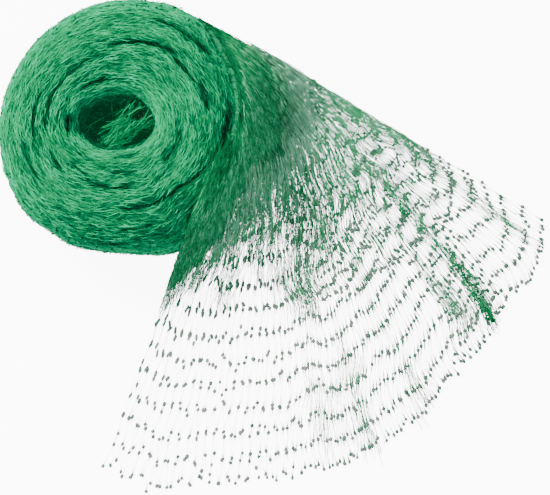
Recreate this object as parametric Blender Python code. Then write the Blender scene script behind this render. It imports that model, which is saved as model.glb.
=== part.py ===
"""Bird netting roll: a gathered diamond-mesh net wound round an open centre, with its loose end spread out.

The roll stands on its flat end with its axis upright. Its last turn leaves the shoulder, falls down
one side like a skirt and lies on the surface as a fan of open mesh.

Frame: metres, +Z up, the surface at z = 0. Sizes below are millimetres, and bearings are degrees
anticlockwise from +X as seen from above. MM turns a length to metres when a mesh is made.
"""

import math

import bpy
import numpy as np

MM = 0.001

# The wound roll.
ROLL_CENTRE = (-92.8, 76.0)
ROLL_RADIUS = 79.0
ROLL_HEIGHT = 100.0
TUCK_DEPTH = 6.0  # how much slimmer the roll is where the loose turn hangs over it
TUCK_BEARINGS = (-69.0, -54.0, 36.0, 62.0)  # starts, full, full, ends
BORE_OFFSET = (-6.0, 1.5)
BORE_HALF = (22.0, 15.5)
INNER_FULLNESS = 5.0  # exponents of the cross-section's rounded outline
OUTER_FULLNESS = 2.3
BASE_FULLNESS = 4.0
HEIGHT_FULLNESS = 2.4
BASE_CREST = (44.0, 60.0)  # radii of the flat ring that the roll stands on

# How the roll's side bulges or flattens round it.
SIDE_SHAPE = (
    # bearing, added radius
    (-180.0, -0.9),
    (-145.0, 2.5),
    (-120.0, 0.3),
    (-92.0, -2.4),
    (-78.0, -0.2),
    (-68.0, 0.8),
    (-56.0, 0.0),
    (60.0, 0.0),
    (95.0, -1.8),
    (120.0, -2.5),
    (150.0, -2.9),
    (180.0, -0.9),
)

# The turns of the winding, seen as grooves that wind outwards clockwise.
WINDING_OFFSET = (-4.1, 0.0)
TURN_PITCH = 14.5
GROOVE_PHASE = 0.68
GROOVE_DEPTH = 1.4
HALF_GROOVE_DEPTH = 0.6

# Deeper creases between loose turns: bearings that each spans, its radius at both ends, and its depth.
CREASES = (
    # from, to, radius from, radius to, depth
    (190.0, 132.0, 47.0, 43.4, 2.6),
    (136.0, 102.0, 43.6, 41.6, 2.0),
    (100.0, 50.0, 46.6, 52.2, 3.6),
    (54.0, 28.0, 48.8, 48.0, 3.2),
    (30.0, 8.0, 51.6, 50.4, 2.6),
    (76.0, 40.0, 64.2, 64.6, 2.6),
    (192.0, 168.0, 34.6, 33.6, 2.8),
    (198.0, 158.0, 54.2, 53.0, 1.8),
    (216.0, 188.0, 60.6, 60.0, 1.8),
    (148.0, 82.0, 33.6, 24.4, 2.2),
    (220.0, 198.0, 46.0, 46.6, 2.4),
    (216.0, 236.0, 39.4, 38.0, 2.0),
    (-128.0, -80.0, 40.8, 37.0, 2.6),
    (-104.0, -72.0, 28.6, 29.6, 1.8),
    (-104.0, -60.0, 20.4, 19.0, 2.2),
    (8.0, -20.0, 61.6, 57.2, 2.6),
    (-18.0, -50.0, 57.4, 49.8, 3.8),
    (-46.0, -94.0, 49.9, 50.8, 3.2),
    (-8.0, -48.0, 34.6, 32.0, 2.0),
    (26.0, -6.0, 69.6, 65.6, 2.8),
    (-3.0, -24.0, 65.6, 58.6, 2.8),
)
CREASE_HALF_WIDTH = 2.6

# The mesh of the roll.
ROLL_STATIONS = 66
# Parts of the roll's section, and the points in each.
SECTION_PARTS = (("top", 21), ("flank", 9), ("base", 12), ("bore", 7))

# The loose end.
SHEET_THICKNESS = 2.5
SHEET_CLEARANCE = 0.9
BED_MARGIN = (-7.5, -4.0)  # where the roll's bed for the loose end starts, outside its edges
BED_ENDS = (36.0, 48.0)  # bearings at which the bed fades out, where the loose end lies beyond the rim
FAN_FOCUS = (-14.3, 131.3)  # the strands of the fan point back to here
FAN_BEARINGS = (-110.6, -31.0)  # left selvedge and right selvedge
FREE_COLUMNS = 60
THROAT_ROWS = 9
MESH_ROWS = 7
HOLE_SHARE = 0.78  # a hole's size as a share of its diamond
THROAT_CROWDING = 2.5  # how much closer the strands start near the right selvedge

# Where the loose end leaves the roll: bearing and radius about the roll's axis, and height.
LEAVING_LINE = (
    # bearing, radius, height
    (-21.4, 57.9, 94.0),
    (-7.6, 66.0, 90.8),
    (12.2, 69.0, 86.5),
    (32.5, 72.5, 79.0),
    (57.4, 78.5, 70.0),
)

# How far out the falling skirt reaches the surface, about the roll's axis.
SKIRT_FOOT = (
    # bearing, radius
    (-100.0, 121.0),
    (-67.0, 117.0),
    (-45.0, 111.0),
    (0.0, 110.0),
    (12.0, 132.0),
    (22.0, 152.0),
    (32.0, 165.0),
    (60.0, 190.0),
)

# The fan's open mesh, by bearing from the focus: where it starts and where the net ends.
FAN_REACH = (
    # bearing, start, end
    (-112.0, 186.0, 294.0),
    (-107.0, 165.0, 294.0),
    (-102.0, 136.0, 293.0),
    (-96.0, 108.0, 283.0),
    (-90.0, 95.0, 281.0),
    (-84.0, 90.0, 279.0),
    (-79.0, 87.0, 271.0),
    (-69.0, 82.0, 262.0),
    (-62.0, 76.0, 250.0),
    (-50.0, 68.0, 233.0),
    (-47.0, 66.0, 229.0),
    (-40.0, 62.0, 227.0),
    (-34.0, 60.0, 224.0),
    (-30.0, 60.0, 215.0),
)

# Gathered folds that stand up from the fan, running along its strands.
FOLDS = (
    # bearing, from, to, rise, half width
    (-33.0, 20.0, 120.0, 3.0, 5.0),
    (-47.5, 60.0, 145.0, 5.0, 5.0),
    (-47.5, 128.5, 236.0, 6.0, 5.0),
    (-56.0, 55.0, 130.0, 3.5, 4.5),
    (-71.0, 70.0, 150.0, 5.0, 5.0),
    (-78.0, 205.0, 262.0, 3.5, 5.0),
    (-85.0, 95.0, 165.0, 3.0, 4.5),
    (-98.0, 110.0, 170.0, 2.5, 5.0),
)
FOLD_END = 22.0  # length over which a fold rises and sinks again

# Pleats that the gathering leaves in the falling skirt.
PLEAT_COUNT = 11
PLEAT_RISE = 1.6
PLEAT_RANGE = (0.12, 0.45, 1.15, 1.6)  # steps down the strand: starts, full, fades, ends

NET_GREEN = (0.035, 0.25, 0.12, 1.0)
LOOSE_GREEN = (0.03, 0.2, 0.1, 1.0)
NET_ROUGHNESS = 0.45


def column(table, index):
    return np.array([row[index] for row in table])


def by_bearing(bearing, table, index):
    """A column of a table that is ordered by bearing, read smoothly between its rows."""
    known = column(table, 0)
    position = np.interp(bearing, known, np.arange(len(known)))
    lower = np.clip(np.floor(position).astype(int), 0, len(known) - 2)
    step = position - lower
    eased = step * step * (3 - 2 * step) * 0.5 + step * 0.5
    values = column(table, index)
    return values[lower] + (values[lower + 1] - values[lower]) * eased


def smooth_step(value, low, high):
    step = np.clip((value - low) / (high - low), 0.0, 1.0)
    return step * step * (3 - 2 * step)


def wrapped(degrees):
    """The same bearing between -180 and 180."""
    return (np.asarray(degrees) + 180.0) % 360.0 - 180.0


def polar(x, y):
    """Radius and bearing about the roll's axis."""
    across, along = x - ROLL_CENTRE[0], y - ROLL_CENTRE[1]
    return np.hypot(across, along), np.degrees(np.arctan2(along, across))


def plan_point(centre, radius, bearing):
    turn = np.radians(bearing)
    return centre[0] + radius * np.cos(turn), centre[1] + radius * np.sin(turn)


def unevenness(bearing, seed):
    """A gentle hand-wound wobble round the roll, from -1 to 1."""
    turn = np.radians(bearing)
    waves = ((2, 0.40), (3, 0.28), (5, 0.20), (9, 0.12))
    return sum(size * np.sin(count * turn + seed * (1.7 + count)) for count, size in waves)


# ---- the roll --------------------------------------------------------------------------------------


def bore_radius(bearing):
    """From the roll's axis to the oval bore, which is off the axis."""
    turn = np.radians(bearing)
    across, along = np.cos(turn) / BORE_HALF[0], np.sin(turn) / BORE_HALF[1]
    from_x, from_y = BORE_OFFSET[0] / BORE_HALF[0], BORE_OFFSET[1] / BORE_HALF[1]
    size = across**2 + along**2
    half = across * from_x + along * from_y
    reach = (half + np.sqrt(half**2 - size * (from_x**2 + from_y**2 - 1))) / size
    return reach + 0.7 * unevenness(bearing, 2.0)


def rim_radius(bearing):
    """From the roll's axis to its side at half height."""
    low, full_low, full_high, high = TUCK_BEARINGS
    tuck = smooth_step(bearing, low, full_low) * (1 - smooth_step(bearing, full_high, high))
    shape = by_bearing(bearing, SIDE_SHAPE, 1) + 0.5 * unevenness(bearing, 1.0)
    return ROLL_RADIUS - TUCK_DEPTH * tuck + shape * (1 - tuck)


def crown(across, top):
    """Height of the plain rounded cross-section, where across runs from -1 at the bore to 1 at the rim."""
    inner = INNER_FULLNESS if top else BASE_FULLNESS
    outer = OUTER_FULLNESS if top else BASE_FULLNESS
    power = np.where(across < 0, inner, outer)
    rise = np.clip(1 - np.abs(across) ** power, 0.0, 1.0) ** (1 / HEIGHT_FULLNESS)
    return ROLL_HEIGHT / 2 * (1 + rise if top else 1 - rise)


def turn_grooves(x, y, bearing):
    """Depth of the grooves between turns at a point of an end face."""
    from_x = x - ROLL_CENTRE[0] - WINDING_OFFSET[0]
    from_y = y - ROLL_CENTRE[1] - WINDING_OFFSET[1]
    turn = np.arctan2(from_y, from_x) / (2 * math.pi)
    phase = np.hypot(from_x, from_y) / TURN_PITCH + turn - GROOVE_PHASE + 0.10 * unevenness(bearing, 3.0)
    narrow = (1 - np.abs(np.sin(math.pi * phase))) ** 2
    half = (1 - np.abs(np.sin(2 * math.pi * phase))) ** 2
    patchy = 0.75 + 0.35 * unevenness(bearing, 5.0)
    return GROOVE_DEPTH * narrow * patchy + HALF_GROOVE_DEPTH * half


def crease_depth(radius, bearing):
    """Depth of the creases between loose turns, each a short arc."""
    depth = np.zeros_like(radius)
    for start, end, radius_start, radius_end, deepest in CREASES:
        span = end - start
        along = wrapped(bearing - start) / span
        fade = smooth_step(along, -0.05, 0.15) * (1 - smooth_step(along, 0.85, 1.05))
        line = radius_start + (radius_end - radius_start) * np.clip(along, 0, 1)
        depth += deepest * fade * np.exp(-(((radius - line) / CREASE_HALF_WIDTH) ** 2))
    return depth


def roll_top(x, y):
    """Height of the roll's upper face, tucked down where the loose end lies on it."""
    radius, bearing = polar(x, y)
    bore, rim = bore_radius(bearing), rim_radius(bearing)
    across = np.clip(2 * (radius - bore) / (rim - bore) - 1, -1.0, 1.0)
    mask = 1 - np.abs(across) ** 8
    height = crown(across, True) - mask * (turn_grooves(x, y, bearing) + crease_depth(radius, bearing))
    height = height + 1.2 * mask * unevenness(bearing, 7.0) * (1 - across) / 2
    middle, steepness = sheet_height(radius, bearing)
    room = (SHEET_THICKNESS / 2 + SHEET_CLEARANCE) * np.hypot(1.0, steepness)
    under = smooth_step(beyond_selvedge(x, y), *BED_MARGIN)
    line = by_bearing(bearing, LEAVING_LINE, 1)
    under = under * smooth_step(radius - line, *BED_MARGIN) * (1 - smooth_step(bearing, *BED_ENDS))
    ceiling = np.where(under > 0, middle - room + (1 - under) * 8, ROLL_HEIGHT * 2)
    return np.minimum(height, ceiling)


def roll_base(x, y):
    """Height of the underside: grooves round a flat ring that lies on the surface."""
    radius, bearing = polar(x, y)
    bore, rim = bore_radius(bearing), rim_radius(bearing)
    across = np.clip(2 * (radius - bore) / (rim - bore) - 1, -1.0, 1.0)
    low, high = BASE_CREST
    off_ring = smooth_step(low - radius, 0.0, 6.0) + smooth_step(radius - high, 0.0, 6.0)
    mask = (1 - np.abs(across) ** 8) * off_ring
    lift = np.where(np.abs(across) > 0.6, crown(across, False), 0.0)
    return np.maximum(lift * off_ring + mask * turn_grooves(x, y, -bearing), 0.0)


def flank_wrinkle(bearing, height):
    """How far the bundled strands bulge out from the roll's side."""
    share = height / ROLL_HEIGHT
    turn = np.radians(bearing)
    return 0.9 * np.sin(7 * share * math.pi + 2 * turn) + 0.6 * np.sin(17 * turn + 9 * share)


def section_stations():
    """One loop round the cross-section, as (part of the loop, step within that part)."""
    steps = []
    for part, count in SECTION_PARTS:
        steps += [(part, (index + 0.5) / count) for index in range(count)]
    return steps


def roll_point(part, step, bearing):
    """A point of the roll. The loop runs out over the top, down the side, in below and up the bore."""
    bore, rim = bore_radius(bearing), rim_radius(bearing)
    middle, half = (rim + bore) / 2, (rim - bore) / 2
    limit = 0.93  # share of the half width at which an end face hands over to a side
    if part in ("top", "base"):
        across = limit * (2 * step - 1) if part == "top" else limit * (1 - 2 * step)
        radius = middle + half * across
        x, y = plan_point(ROLL_CENTRE, radius, bearing)
        return x, y, roll_top(x, y) if part == "top" else roll_base(x, y)
    side = 1 if part == "flank" else -1
    edge_x, edge_y = plan_point(ROLL_CENTRE, middle + half * limit * side, bearing)
    upper, lower = roll_top(edge_x, edge_y), roll_base(edge_x, edge_y)
    height = upper + (lower - upper) * (step if part == "flank" else 1 - step)
    share = np.clip(np.abs(2 * (height - lower) / (upper - lower) - 1), 0.0, 1.0)
    bulge = limit + (1 - limit) * (1 - share**HEIGHT_FULLNESS)
    radius = middle + half * bulge * side
    if part == "flank":
        radius = radius + flank_wrinkle(bearing, height) * (rim > ROLL_RADIUS - 1) * (1 - share**4)
    x, y = plan_point(ROLL_CENTRE, radius, bearing)
    return x, y, height


def roll_mesh():
    """Points and faces of the roll: a ring of closed sections."""
    bearings = wrapped(np.arange(ROLL_STATIONS) * 360.0 / ROLL_STATIONS + 2.0)
    stations = section_stations()
    points = []
    for part, step in stations:
        x, y, z = roll_point(part, step, bearings)
        points.append(np.stack([x, y, z * np.ones_like(x)], axis=1))
    points = np.array(points)
    rows = len(stations)
    faces = []
    for row in range(rows):
        for place in range(ROLL_STATIONS):
            onward, beside = (row + 1) % rows, (place + 1) % ROLL_STATIONS
            corners = ((row, place), (onward, place), (onward, beside), (row, beside))
            faces.append([r * ROLL_STATIONS + c for r, c in corners])
    return points.reshape(-1, 3), faces


# ---- the loose end ---------------------------------------------------------------------------------


def selvedge_line():
    """Two plan points of the left selvedge: where it leaves the roll's shoulder and where the fan starts."""
    start = plan_point(ROLL_CENTRE, LEAVING_LINE[0][1], LEAVING_LINE[0][0])
    foot = plan_point(FAN_FOCUS, by_bearing(FAN_BEARINGS[0], FAN_REACH, 1), FAN_BEARINGS[0])
    return start, foot


def beyond_selvedge(x, y):
    """Distance from the left selvedge's line, positive on the net's side of it."""
    (start_x, start_y), (foot_x, foot_y) = selvedge_line()
    along_x, along_y = foot_x - start_x, foot_y - start_y
    return ((y - start_y) * along_x - (x - start_x) * along_y) / math.hypot(along_x, along_y)


def skirt_section(bearing, step):
    """Radius and height of the falling net in the upright plane at this bearing, at step 0 to 1."""
    from_radius, from_height = by_bearing(bearing, LEAVING_LINE, 1), by_bearing(bearing, LEAVING_LINE, 2)
    foot = by_bearing(bearing, SKIRT_FOOT, 1)
    floor = SHEET_THICKNESS / 2
    radii = (from_radius, np.maximum(80.0, from_radius + 10), 79.5 + (foot - 112) * 0.3, foot)
    heights = (from_height, from_height + 0.5, 20.0, floor)
    weights = ((1 - step) ** 3, 3 * (1 - step) ** 2 * step, 3 * (1 - step) * step**2, step**3)
    return sum(w * r for w, r in zip(weights, radii)), sum(w * h for w, h in zip(weights, heights))


def sheet_height(radius, bearing):
    """Height of the loose end's middle surface, and how steeply it falls, about the roll's axis."""
    radius, bearing = np.broadcast_arrays(np.asarray(radius, float), np.asarray(bearing, float))
    low, high = np.zeros(radius.shape), np.ones(radius.shape)
    for _ in range(24):
        middle = (low + high) / 2
        nearer = skirt_section(bearing, middle)[0] < radius
        low, high = np.where(nearer, middle, low), np.where(nearer, high, middle)
    height = skirt_section(bearing, low)[1]
    near_r, near_h = skirt_section(bearing, np.clip(low - 0.02, 0, 1))
    far_r, far_h = skirt_section(bearing, np.clip(low + 0.02, 0, 1))
    return height, (near_h - far_h) / np.maximum(far_r - near_r, 1e-6)


def fold_rise(distance, bearing):
    """How far the gathered folds lift the fan at a place given from its focus."""
    rise = np.zeros_like(distance)
    for fold_bearing, start, end, highest, half_width in FOLDS:
        sway = 2.0 * np.sin(distance / 17.0 + fold_bearing)
        aside = np.radians(bearing - fold_bearing) * distance + sway
        lift = smooth_step(distance, start, start + FOLD_END)
        sink = smooth_step(distance, end - FOLD_END / 2, end)
        rise += highest * lift * (1 - sink) * np.exp(-((aside / half_width) ** 2))
    return rise


def sheet_point(x, y):
    """The middle surface of the loose end above a plan point."""
    radius, bearing = polar(x, y)
    across, along = x - FAN_FOCUS[0], y - FAN_FOCUS[1]
    distance, fan_bearing = np.hypot(across, along), np.degrees(np.arctan2(along, across))
    height = sheet_height(radius, bearing)[0] + fold_rise(distance, fan_bearing)
    return np.stack([x, y, height], axis=-1)


def strand_start(share):
    """Plan point and heading where a strand leaves the winding, share 0 at the left selvedge."""
    first, last = LEAVING_LINE[0][0], LEAVING_LINE[-1][0]
    bearing = first + (last - first) * (1 - (1 - share) ** THROAT_CROWDING)
    x, y = plan_point(ROLL_CENTRE, by_bearing(bearing, LEAVING_LINE, 1), bearing)
    return np.array([x, y]), bearing - 90.0


def throat_point(share, step):
    """Plan point on a strand between the winding and the open mesh, a curve that leaves the roll's side."""
    start, heading = strand_start(share)
    fan_bearing = FAN_BEARINGS[0] + (FAN_BEARINGS[1] - FAN_BEARINGS[0]) * share
    end = np.array(plan_point(FAN_FOCUS, by_bearing(fan_bearing, FAN_REACH, 1), fan_bearing))
    reach = math.hypot(*(end - start)) / 3
    lead = start + reach * np.array(plan_point((0, 0), 1.0, heading))
    arrive = end - reach * np.array(plan_point((0, 0), 1.0, fan_bearing))
    rest = 1 - step
    return rest**3 * start + 3 * rest**2 * step * lead + 3 * rest * step**2 * arrive + step**3 * end


def fan_point(share, step):
    """Plan point in the open mesh, step 0 at its start and 1 at the net's end."""
    fan_bearing = FAN_BEARINGS[0] + (FAN_BEARINGS[1] - FAN_BEARINGS[0]) * share
    start, end = by_bearing(fan_bearing, FAN_REACH, 1), by_bearing(fan_bearing, FAN_REACH, 2)
    return np.array(plan_point(FAN_FOCUS, start + (end - start) * step, fan_bearing))


def pleat_height(share, step):
    """Height of the pleats, step 0 at the winding, 1 where the open mesh starts and 2 at the net's end."""
    starts, full, fades, ends = PLEAT_RANGE
    strength = smooth_step(step, starts, full) * (1 - smooth_step(step, fades, ends))
    wave = math.sin(2 * math.pi * PLEAT_COUNT * share + 1.3 * math.sin(5 * share))
    return PLEAT_RISE * strength * (1 + wave) / 2


def loose_grid():
    """Middle-surface points of the loose end, by (row, column): throat rows first, then mesh rows."""
    rows = []
    for row in range(THROAT_ROWS + MESH_ROWS + 1):
        line = []
        for place in range(FREE_COLUMNS + 1):
            share = place / FREE_COLUMNS
            if row < THROAT_ROWS:
                step = row / THROAT_ROWS
                x, y = throat_point(share, step)
            else:
                step = 1 + (row - THROAT_ROWS) / MESH_ROWS
                x, y = fan_point(share, step - 1)
            point = sheet_point(np.float64(x), np.float64(y))
            point[2] += pleat_height(share, step)
            line.append(point)
        rows.append(line)
    return np.array(rows)


def grid_normals(grid):
    """Unit normals of the middle surface, facing up."""
    down = np.gradient(grid, axis=0)
    over = np.gradient(grid, axis=1)
    normals = np.cross(down, over)
    normals /= np.linalg.norm(normals, axis=2, keepdims=True)
    return normals * np.where(normals[..., 2:] < 0, -1.0, 1.0)


class ThickNet:
    """Collects the upper faces of the net and gives the closed solid that has them as its top."""

    def __init__(self):
        self.middle = []
        self.normal = []
        self.faces = []
        self.index = {}

    def corner(self, key, point, normal):
        if key not in self.index:
            self.index[key] = len(self.middle)
            self.middle.append(point)
            self.normal.append(normal)
        return self.index[key]

    def face(self, corners):
        self.faces.append(list(corners))

    def solid(self):
        """Upper and lower skins, and a wall along each edge that only one face has."""
        middle, normal = np.array(self.middle), np.array(self.normal)
        above = middle + normal * SHEET_THICKNESS / 2
        below = middle - normal * SHEET_THICKNESS / 2
        below[:, 2] = np.maximum(below[:, 2], 0.0)
        count = len(middle)
        faces = [list(face) for face in self.faces]
        faces += [[corner + count for corner in reversed(face)] for face in self.faces]
        edges = {(face[i], face[(i + 1) % len(face)]) for face in self.faces for i in range(len(face))}
        for first, second in edges:
            if (second, first) not in edges:
                faces.append([second, first, first + count, second + count])
        return np.concatenate([above, below]), faces


def loose_mesh():
    """Points and faces of the loose end: a whole sheet at the throat, and a net of diamonds in the fan."""
    grid = loose_grid()
    normals = grid_normals(grid)
    net = ThickNet()

    def knot(row, place):
        return net.corner((row, place), grid[row, place], normals[row, place])

    def rim(row, place, corners):
        """The corners of the hole inside one diamond, drawn in from the diamond's own corners."""
        middle = np.mean([grid[r, c] for r, c in corners], axis=0)
        up = normals[min(row, len(grid) - 1), place]
        made = []
        for r, c in corners:
            point = middle + (grid[r, c] - middle) * HOLE_SHARE
            made.append(net.corner(("hole", row, place, r, c), point, up))
        return made

    for row in range(THROAT_ROWS):
        for place in range(FREE_COLUMNS):
            net.face([knot(row, place), knot(row + 1, place), knot(row + 1, place + 1), knot(row, place + 1)])

    first, last = THROAT_ROWS, THROAT_ROWS + MESH_ROWS
    for row in range(first, last + 1):
        for place in range(FREE_COLUMNS + 1):
            if (row - first + place) % 2 == 0:
                continue
            sides = [(row - 1, place), (row, place - 1), (row + 1, place), (row, place + 1)]
            corners = [(r, c) for r, c in sides if first <= r <= last and 0 <= c <= FREE_COLUMNS]
            outer = [knot(r, c) for r, c in corners]
            if row == first:
                left, onward, right = outer
                net.face([left, onward, knot(row, place)])
                net.face([knot(row, place), onward, right])
            elif len(corners) == 3 and row < last:
                net.face(outer)
            elif len(corners) >= 3:
                inner = rim(row, place, corners)
                for index in range(len(outer)):
                    after = (index + 1) % len(outer)
                    net.face([outer[index], outer[after], inner[after], inner[index]])
    return net.solid()


# ---- objects ---------------------------------------------------------------------------------------


def net_material(name, colour):
    material = bpy.data.materials.new(name)
    material.use_nodes = True
    shader = material.node_tree.nodes["Principled BSDF"]
    shader.inputs["Base Color"].default_value = colour
    shader.inputs["Roughness"].default_value = NET_ROUGHNESS
    shader.inputs["Metallic"].default_value = 0.0
    material.diffuse_color = colour
    return material


def add_solid(name, points, faces, material):
    mesh = bpy.data.meshes.new(name)
    mesh.from_pydata([tuple(point) for point in np.asarray(points) * MM], [], faces)
    mesh.validate()
    mesh.update()
    mesh.shade_smooth()
    mesh.set_sharp_from_angle(angle=math.radians(50))
    mesh.materials.append(material)
    solid = bpy.data.objects.new(name, mesh)
    bpy.context.scene.collection.objects.link(solid)
    return solid


def main():
    for existing in list(bpy.data.objects):
        bpy.data.objects.remove(existing, do_unlink=True)
    add_solid("net_roll", *roll_mesh(), net_material("wound_netting", NET_GREEN))
    add_solid("net_end", *loose_mesh(), net_material("spread_netting", LOOSE_GREEN))


main()
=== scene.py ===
"""Looks of the bird netting roll.

A long green net of knotted diamond mesh is gathered to a rope, wound on its end round an open centre, and
its last turn leaves the shoulder, falls down one side and lies spread as a fan of open mesh.

Frame: metres, +Z up, the surface at z = 0. Sizes are millimetres, and MM turns them to metres when a mesh
is made. Bearings are degrees anticlockwise from +X as seen from above.
"""

import logging
import math
from dataclasses import dataclass, field
from enum import Enum

import bpy
import numpy as np
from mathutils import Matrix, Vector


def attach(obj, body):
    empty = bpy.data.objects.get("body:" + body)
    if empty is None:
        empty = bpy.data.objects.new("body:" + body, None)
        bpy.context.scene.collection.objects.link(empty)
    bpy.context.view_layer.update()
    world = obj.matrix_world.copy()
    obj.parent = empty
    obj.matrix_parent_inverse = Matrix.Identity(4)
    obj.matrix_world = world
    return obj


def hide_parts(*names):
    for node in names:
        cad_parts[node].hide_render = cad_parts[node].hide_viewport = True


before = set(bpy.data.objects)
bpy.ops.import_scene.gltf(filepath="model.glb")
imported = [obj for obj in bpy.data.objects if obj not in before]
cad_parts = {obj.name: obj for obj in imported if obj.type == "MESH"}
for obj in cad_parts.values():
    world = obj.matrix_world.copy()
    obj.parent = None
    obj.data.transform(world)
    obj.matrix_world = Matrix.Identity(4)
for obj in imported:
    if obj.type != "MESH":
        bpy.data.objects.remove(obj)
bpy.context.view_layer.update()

MM = 0.001
TINY = 1e-3  # millimetres, under which a step is taken as this
HALVINGS = 24  # in the search for a point of the falling net
NEARLY_NONE = 1e-9  # weight of a place that gets no thread
SEED = 20
ROLL_NODE = "net_roll"
END_NODE = "net_end"

Array = np.ndarray
Table = tuple[tuple[float, ...], ...]
Pair = tuple[float, float]
Triple = tuple[float, float, float]
Four = tuple[float, float, float, float]
Places = tuple[Array, Array]
Material = bpy.types.Material
Piece = bpy.types.Object
Tree = bpy.types.NodeTree

log = logging.getLogger("netting_roll")


# ---- small helpers ----


def ease(value: Array, low: float, high: float) -> Array:
    """Eased 0 to 1 as value goes from low to high."""
    step = np.clip((value - low) / (high - low), 0.0, 1.0)
    return step * step * (3 - 2 * step)


def fall_off(value: Array, low: float, high: float) -> Array:
    """Eased 1 to 0 as value goes from low to high."""
    return 1 - ease(value, low, high)


def span(value: Array, start: float, end: float, soft: float) -> Array:
    """1 between start and end, eased over soft to both sides of each of them."""
    return ease(value, start - soft, start + soft) * fall_off(value, end - soft, end + soft)


def bell(value: Array) -> Array:
    """1 at nought, dying away smoothly to both sides."""
    return np.exp(-(value**2))


def wrapped(degrees: Array) -> Array:
    """The same bearing between -180 and 180."""
    return (np.asarray(degrees) + 180.0) % 360.0 - 180.0


def plan_point(centre: Pair, radius: Array, bearing: Array) -> Places:
    """Plan x and y at a radius and bearing from a centre."""
    turn = np.radians(bearing)
    return centre[0] + radius * np.cos(turn), centre[1] + radius * np.sin(turn)


def polar(centre: Pair, x: Array, y: Array) -> Places:
    """Radius and bearing of a plan point about a centre."""
    from_x, from_y = x - centre[0], y - centre[1]
    return np.hypot(from_x, from_y), np.degrees(np.arctan2(from_y, from_x))


def bezier(stops: tuple[Array, ...], step: Array) -> Array:
    """A cubic curve from its first stop to its last, drawn towards the two between them.

    Args:
        stops: four values.
        step: place along the curve, 0 to 1.

    Returns:
        The value at each step.
    """
    rest = 1 - step
    weights = (rest**3, 3 * rest**2 * step, 3 * rest * step**2, step**3)
    return sum(weight * stop for weight, stop in zip(weights, stops, strict=True))


def read_table(at: Array, table: Table, index: int = 1) -> Array:
    """A column of a table that is ordered by its first one, read smoothly between its rows.

    Args:
        at: where to read it, in the first column's units.
        table: the rows.
        index: the column to read.

    Returns:
        The column's value at each place.
    """
    known = np.array([row[0] for row in table])
    values = np.array([row[index] for row in table])
    position = np.interp(at, known, np.arange(len(known)))
    lower = np.clip(np.floor(position).astype(int), 0, len(known) - 2)
    step = position - lower
    eased = step * step * (3 - 2 * step) * 0.5 + step * 0.5  # half way to a straight line, so no row shows
    return values[lower] + (values[lower + 1] - values[lower]) * eased


def read_straight(at: Array, table: Table) -> Array:
    """A table's second column, read along straight lines between its rows."""
    known, values = zip(*table, strict=True)
    return np.interp(at, known, values)


def unevenness(bearing: Array, seed: float) -> Array:
    """A gentle hand-wound wobble round the roll.

    Args:
        bearing: degrees about the roll's axis.
        seed: a number that tells one wobble from another.

    Returns:
        The wobble, from -1 to 1.
    """
    turn = np.radians(bearing)
    waves = ((2, 0.40), (3, 0.28), (5, 0.20), (9, 0.12))
    return sum(size * np.sin(count * turn + seed * (1.7 + count)) for count, size in waves)


def drift(first: Array, second: Array, seed: float) -> Array:
    """A smooth patchy field over two running coordinates.

    Args:
        first: one coordinate, in radians of the slowest wave.
        second: the other one.
        seed: a number that tells one field from another.

    Returns:
        The field, from about -1 to 1.
    """
    waves = ((1.0, 0.7, 0.36), (-0.6, 1.3, 0.28), (1.9, -0.8, 0.20), (2.7, 2.1, 0.16))
    total = 0.0
    for across, along, size in waves:
        total = total + size * np.sin(across * first + along * second + seed * (1.3 + across))
    return total


def unit(vectors: Array) -> Array:
    """The same vectors at length one."""
    return vectors / np.maximum(np.linalg.norm(vectors, axis=-1, keepdims=True), 1e-9)


def read_grid(values: Array, row: Array, column: Array) -> Array:
    """Reads a grid between its points.

    Args:
        values: numbers or vectors, rows by columns.
        row: each place's row number, with fractions.
        column: its column number.

    Returns:
        The value at each place.
    """
    i, j = row.astype(int), column.astype(int)
    s, t = row - i, column - j
    if values.ndim > 2:
        s, t = s[..., None], t[..., None]
    lower = values[i, j] * (1 - t) + values[i, j + 1] * t
    upper = values[i + 1, j] * (1 - t) + values[i + 1, j + 1] * t
    return lower * (1 - s) + upper * s


# ---- finishes ----


def linear(colour: str) -> tuple[float, float, float, float]:
    """Turns an sRGB colour to linear light.

    Args:
        colour: a hash sign and six hex digits.

    Returns:
        Linear red, green, blue and an alpha of one.
    """
    values = [int(colour[place : place + 2], 16) / 255 for place in (1, 3, 5)]
    values = [v / 12.92 if v <= 0.04045 else ((v + 0.055) / 1.055) ** 2.4 for v in values]
    return (*values, 1.0)


def per_metre(size_mm: float) -> float:
    """A texture's scale, from the real size of its grain."""
    return 1.0 / (size_mm * MM)


def add_node(tree: Tree, kind: str, settings: dict, links: dict) -> bpy.types.Node:
    """Adds one node.

    Args:
        tree: the material's nodes.
        kind: Blender's name of the node.
        settings: a property or an input's name, and its value.
        links: an input's name, and the output socket that feeds it.

    Returns:
        The node.
    """
    node = tree.nodes.new(kind)
    for name, value in settings.items():
        if name in node.inputs:
            node.inputs[name].default_value = value
        else:
            setattr(node, name, value)
    for name, socket in links.items():
        tree.links.new(socket, node.inputs[name])
    return node


def set_ramp(ramp: bpy.types.Node, stops: tuple[tuple[float, str], ...]) -> None:
    """Gives a colour ramp its stops.

    Args:
        ramp: the node.
        stops: each stop's place and its sRGB hex colour.
    """
    elements = ramp.color_ramp.elements
    while len(elements) < len(stops):
        elements.new(0.5)
    for element, (place, colour) in zip(elements, stops, strict=True):
        element.position = place
        element.color = linear(colour)


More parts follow.
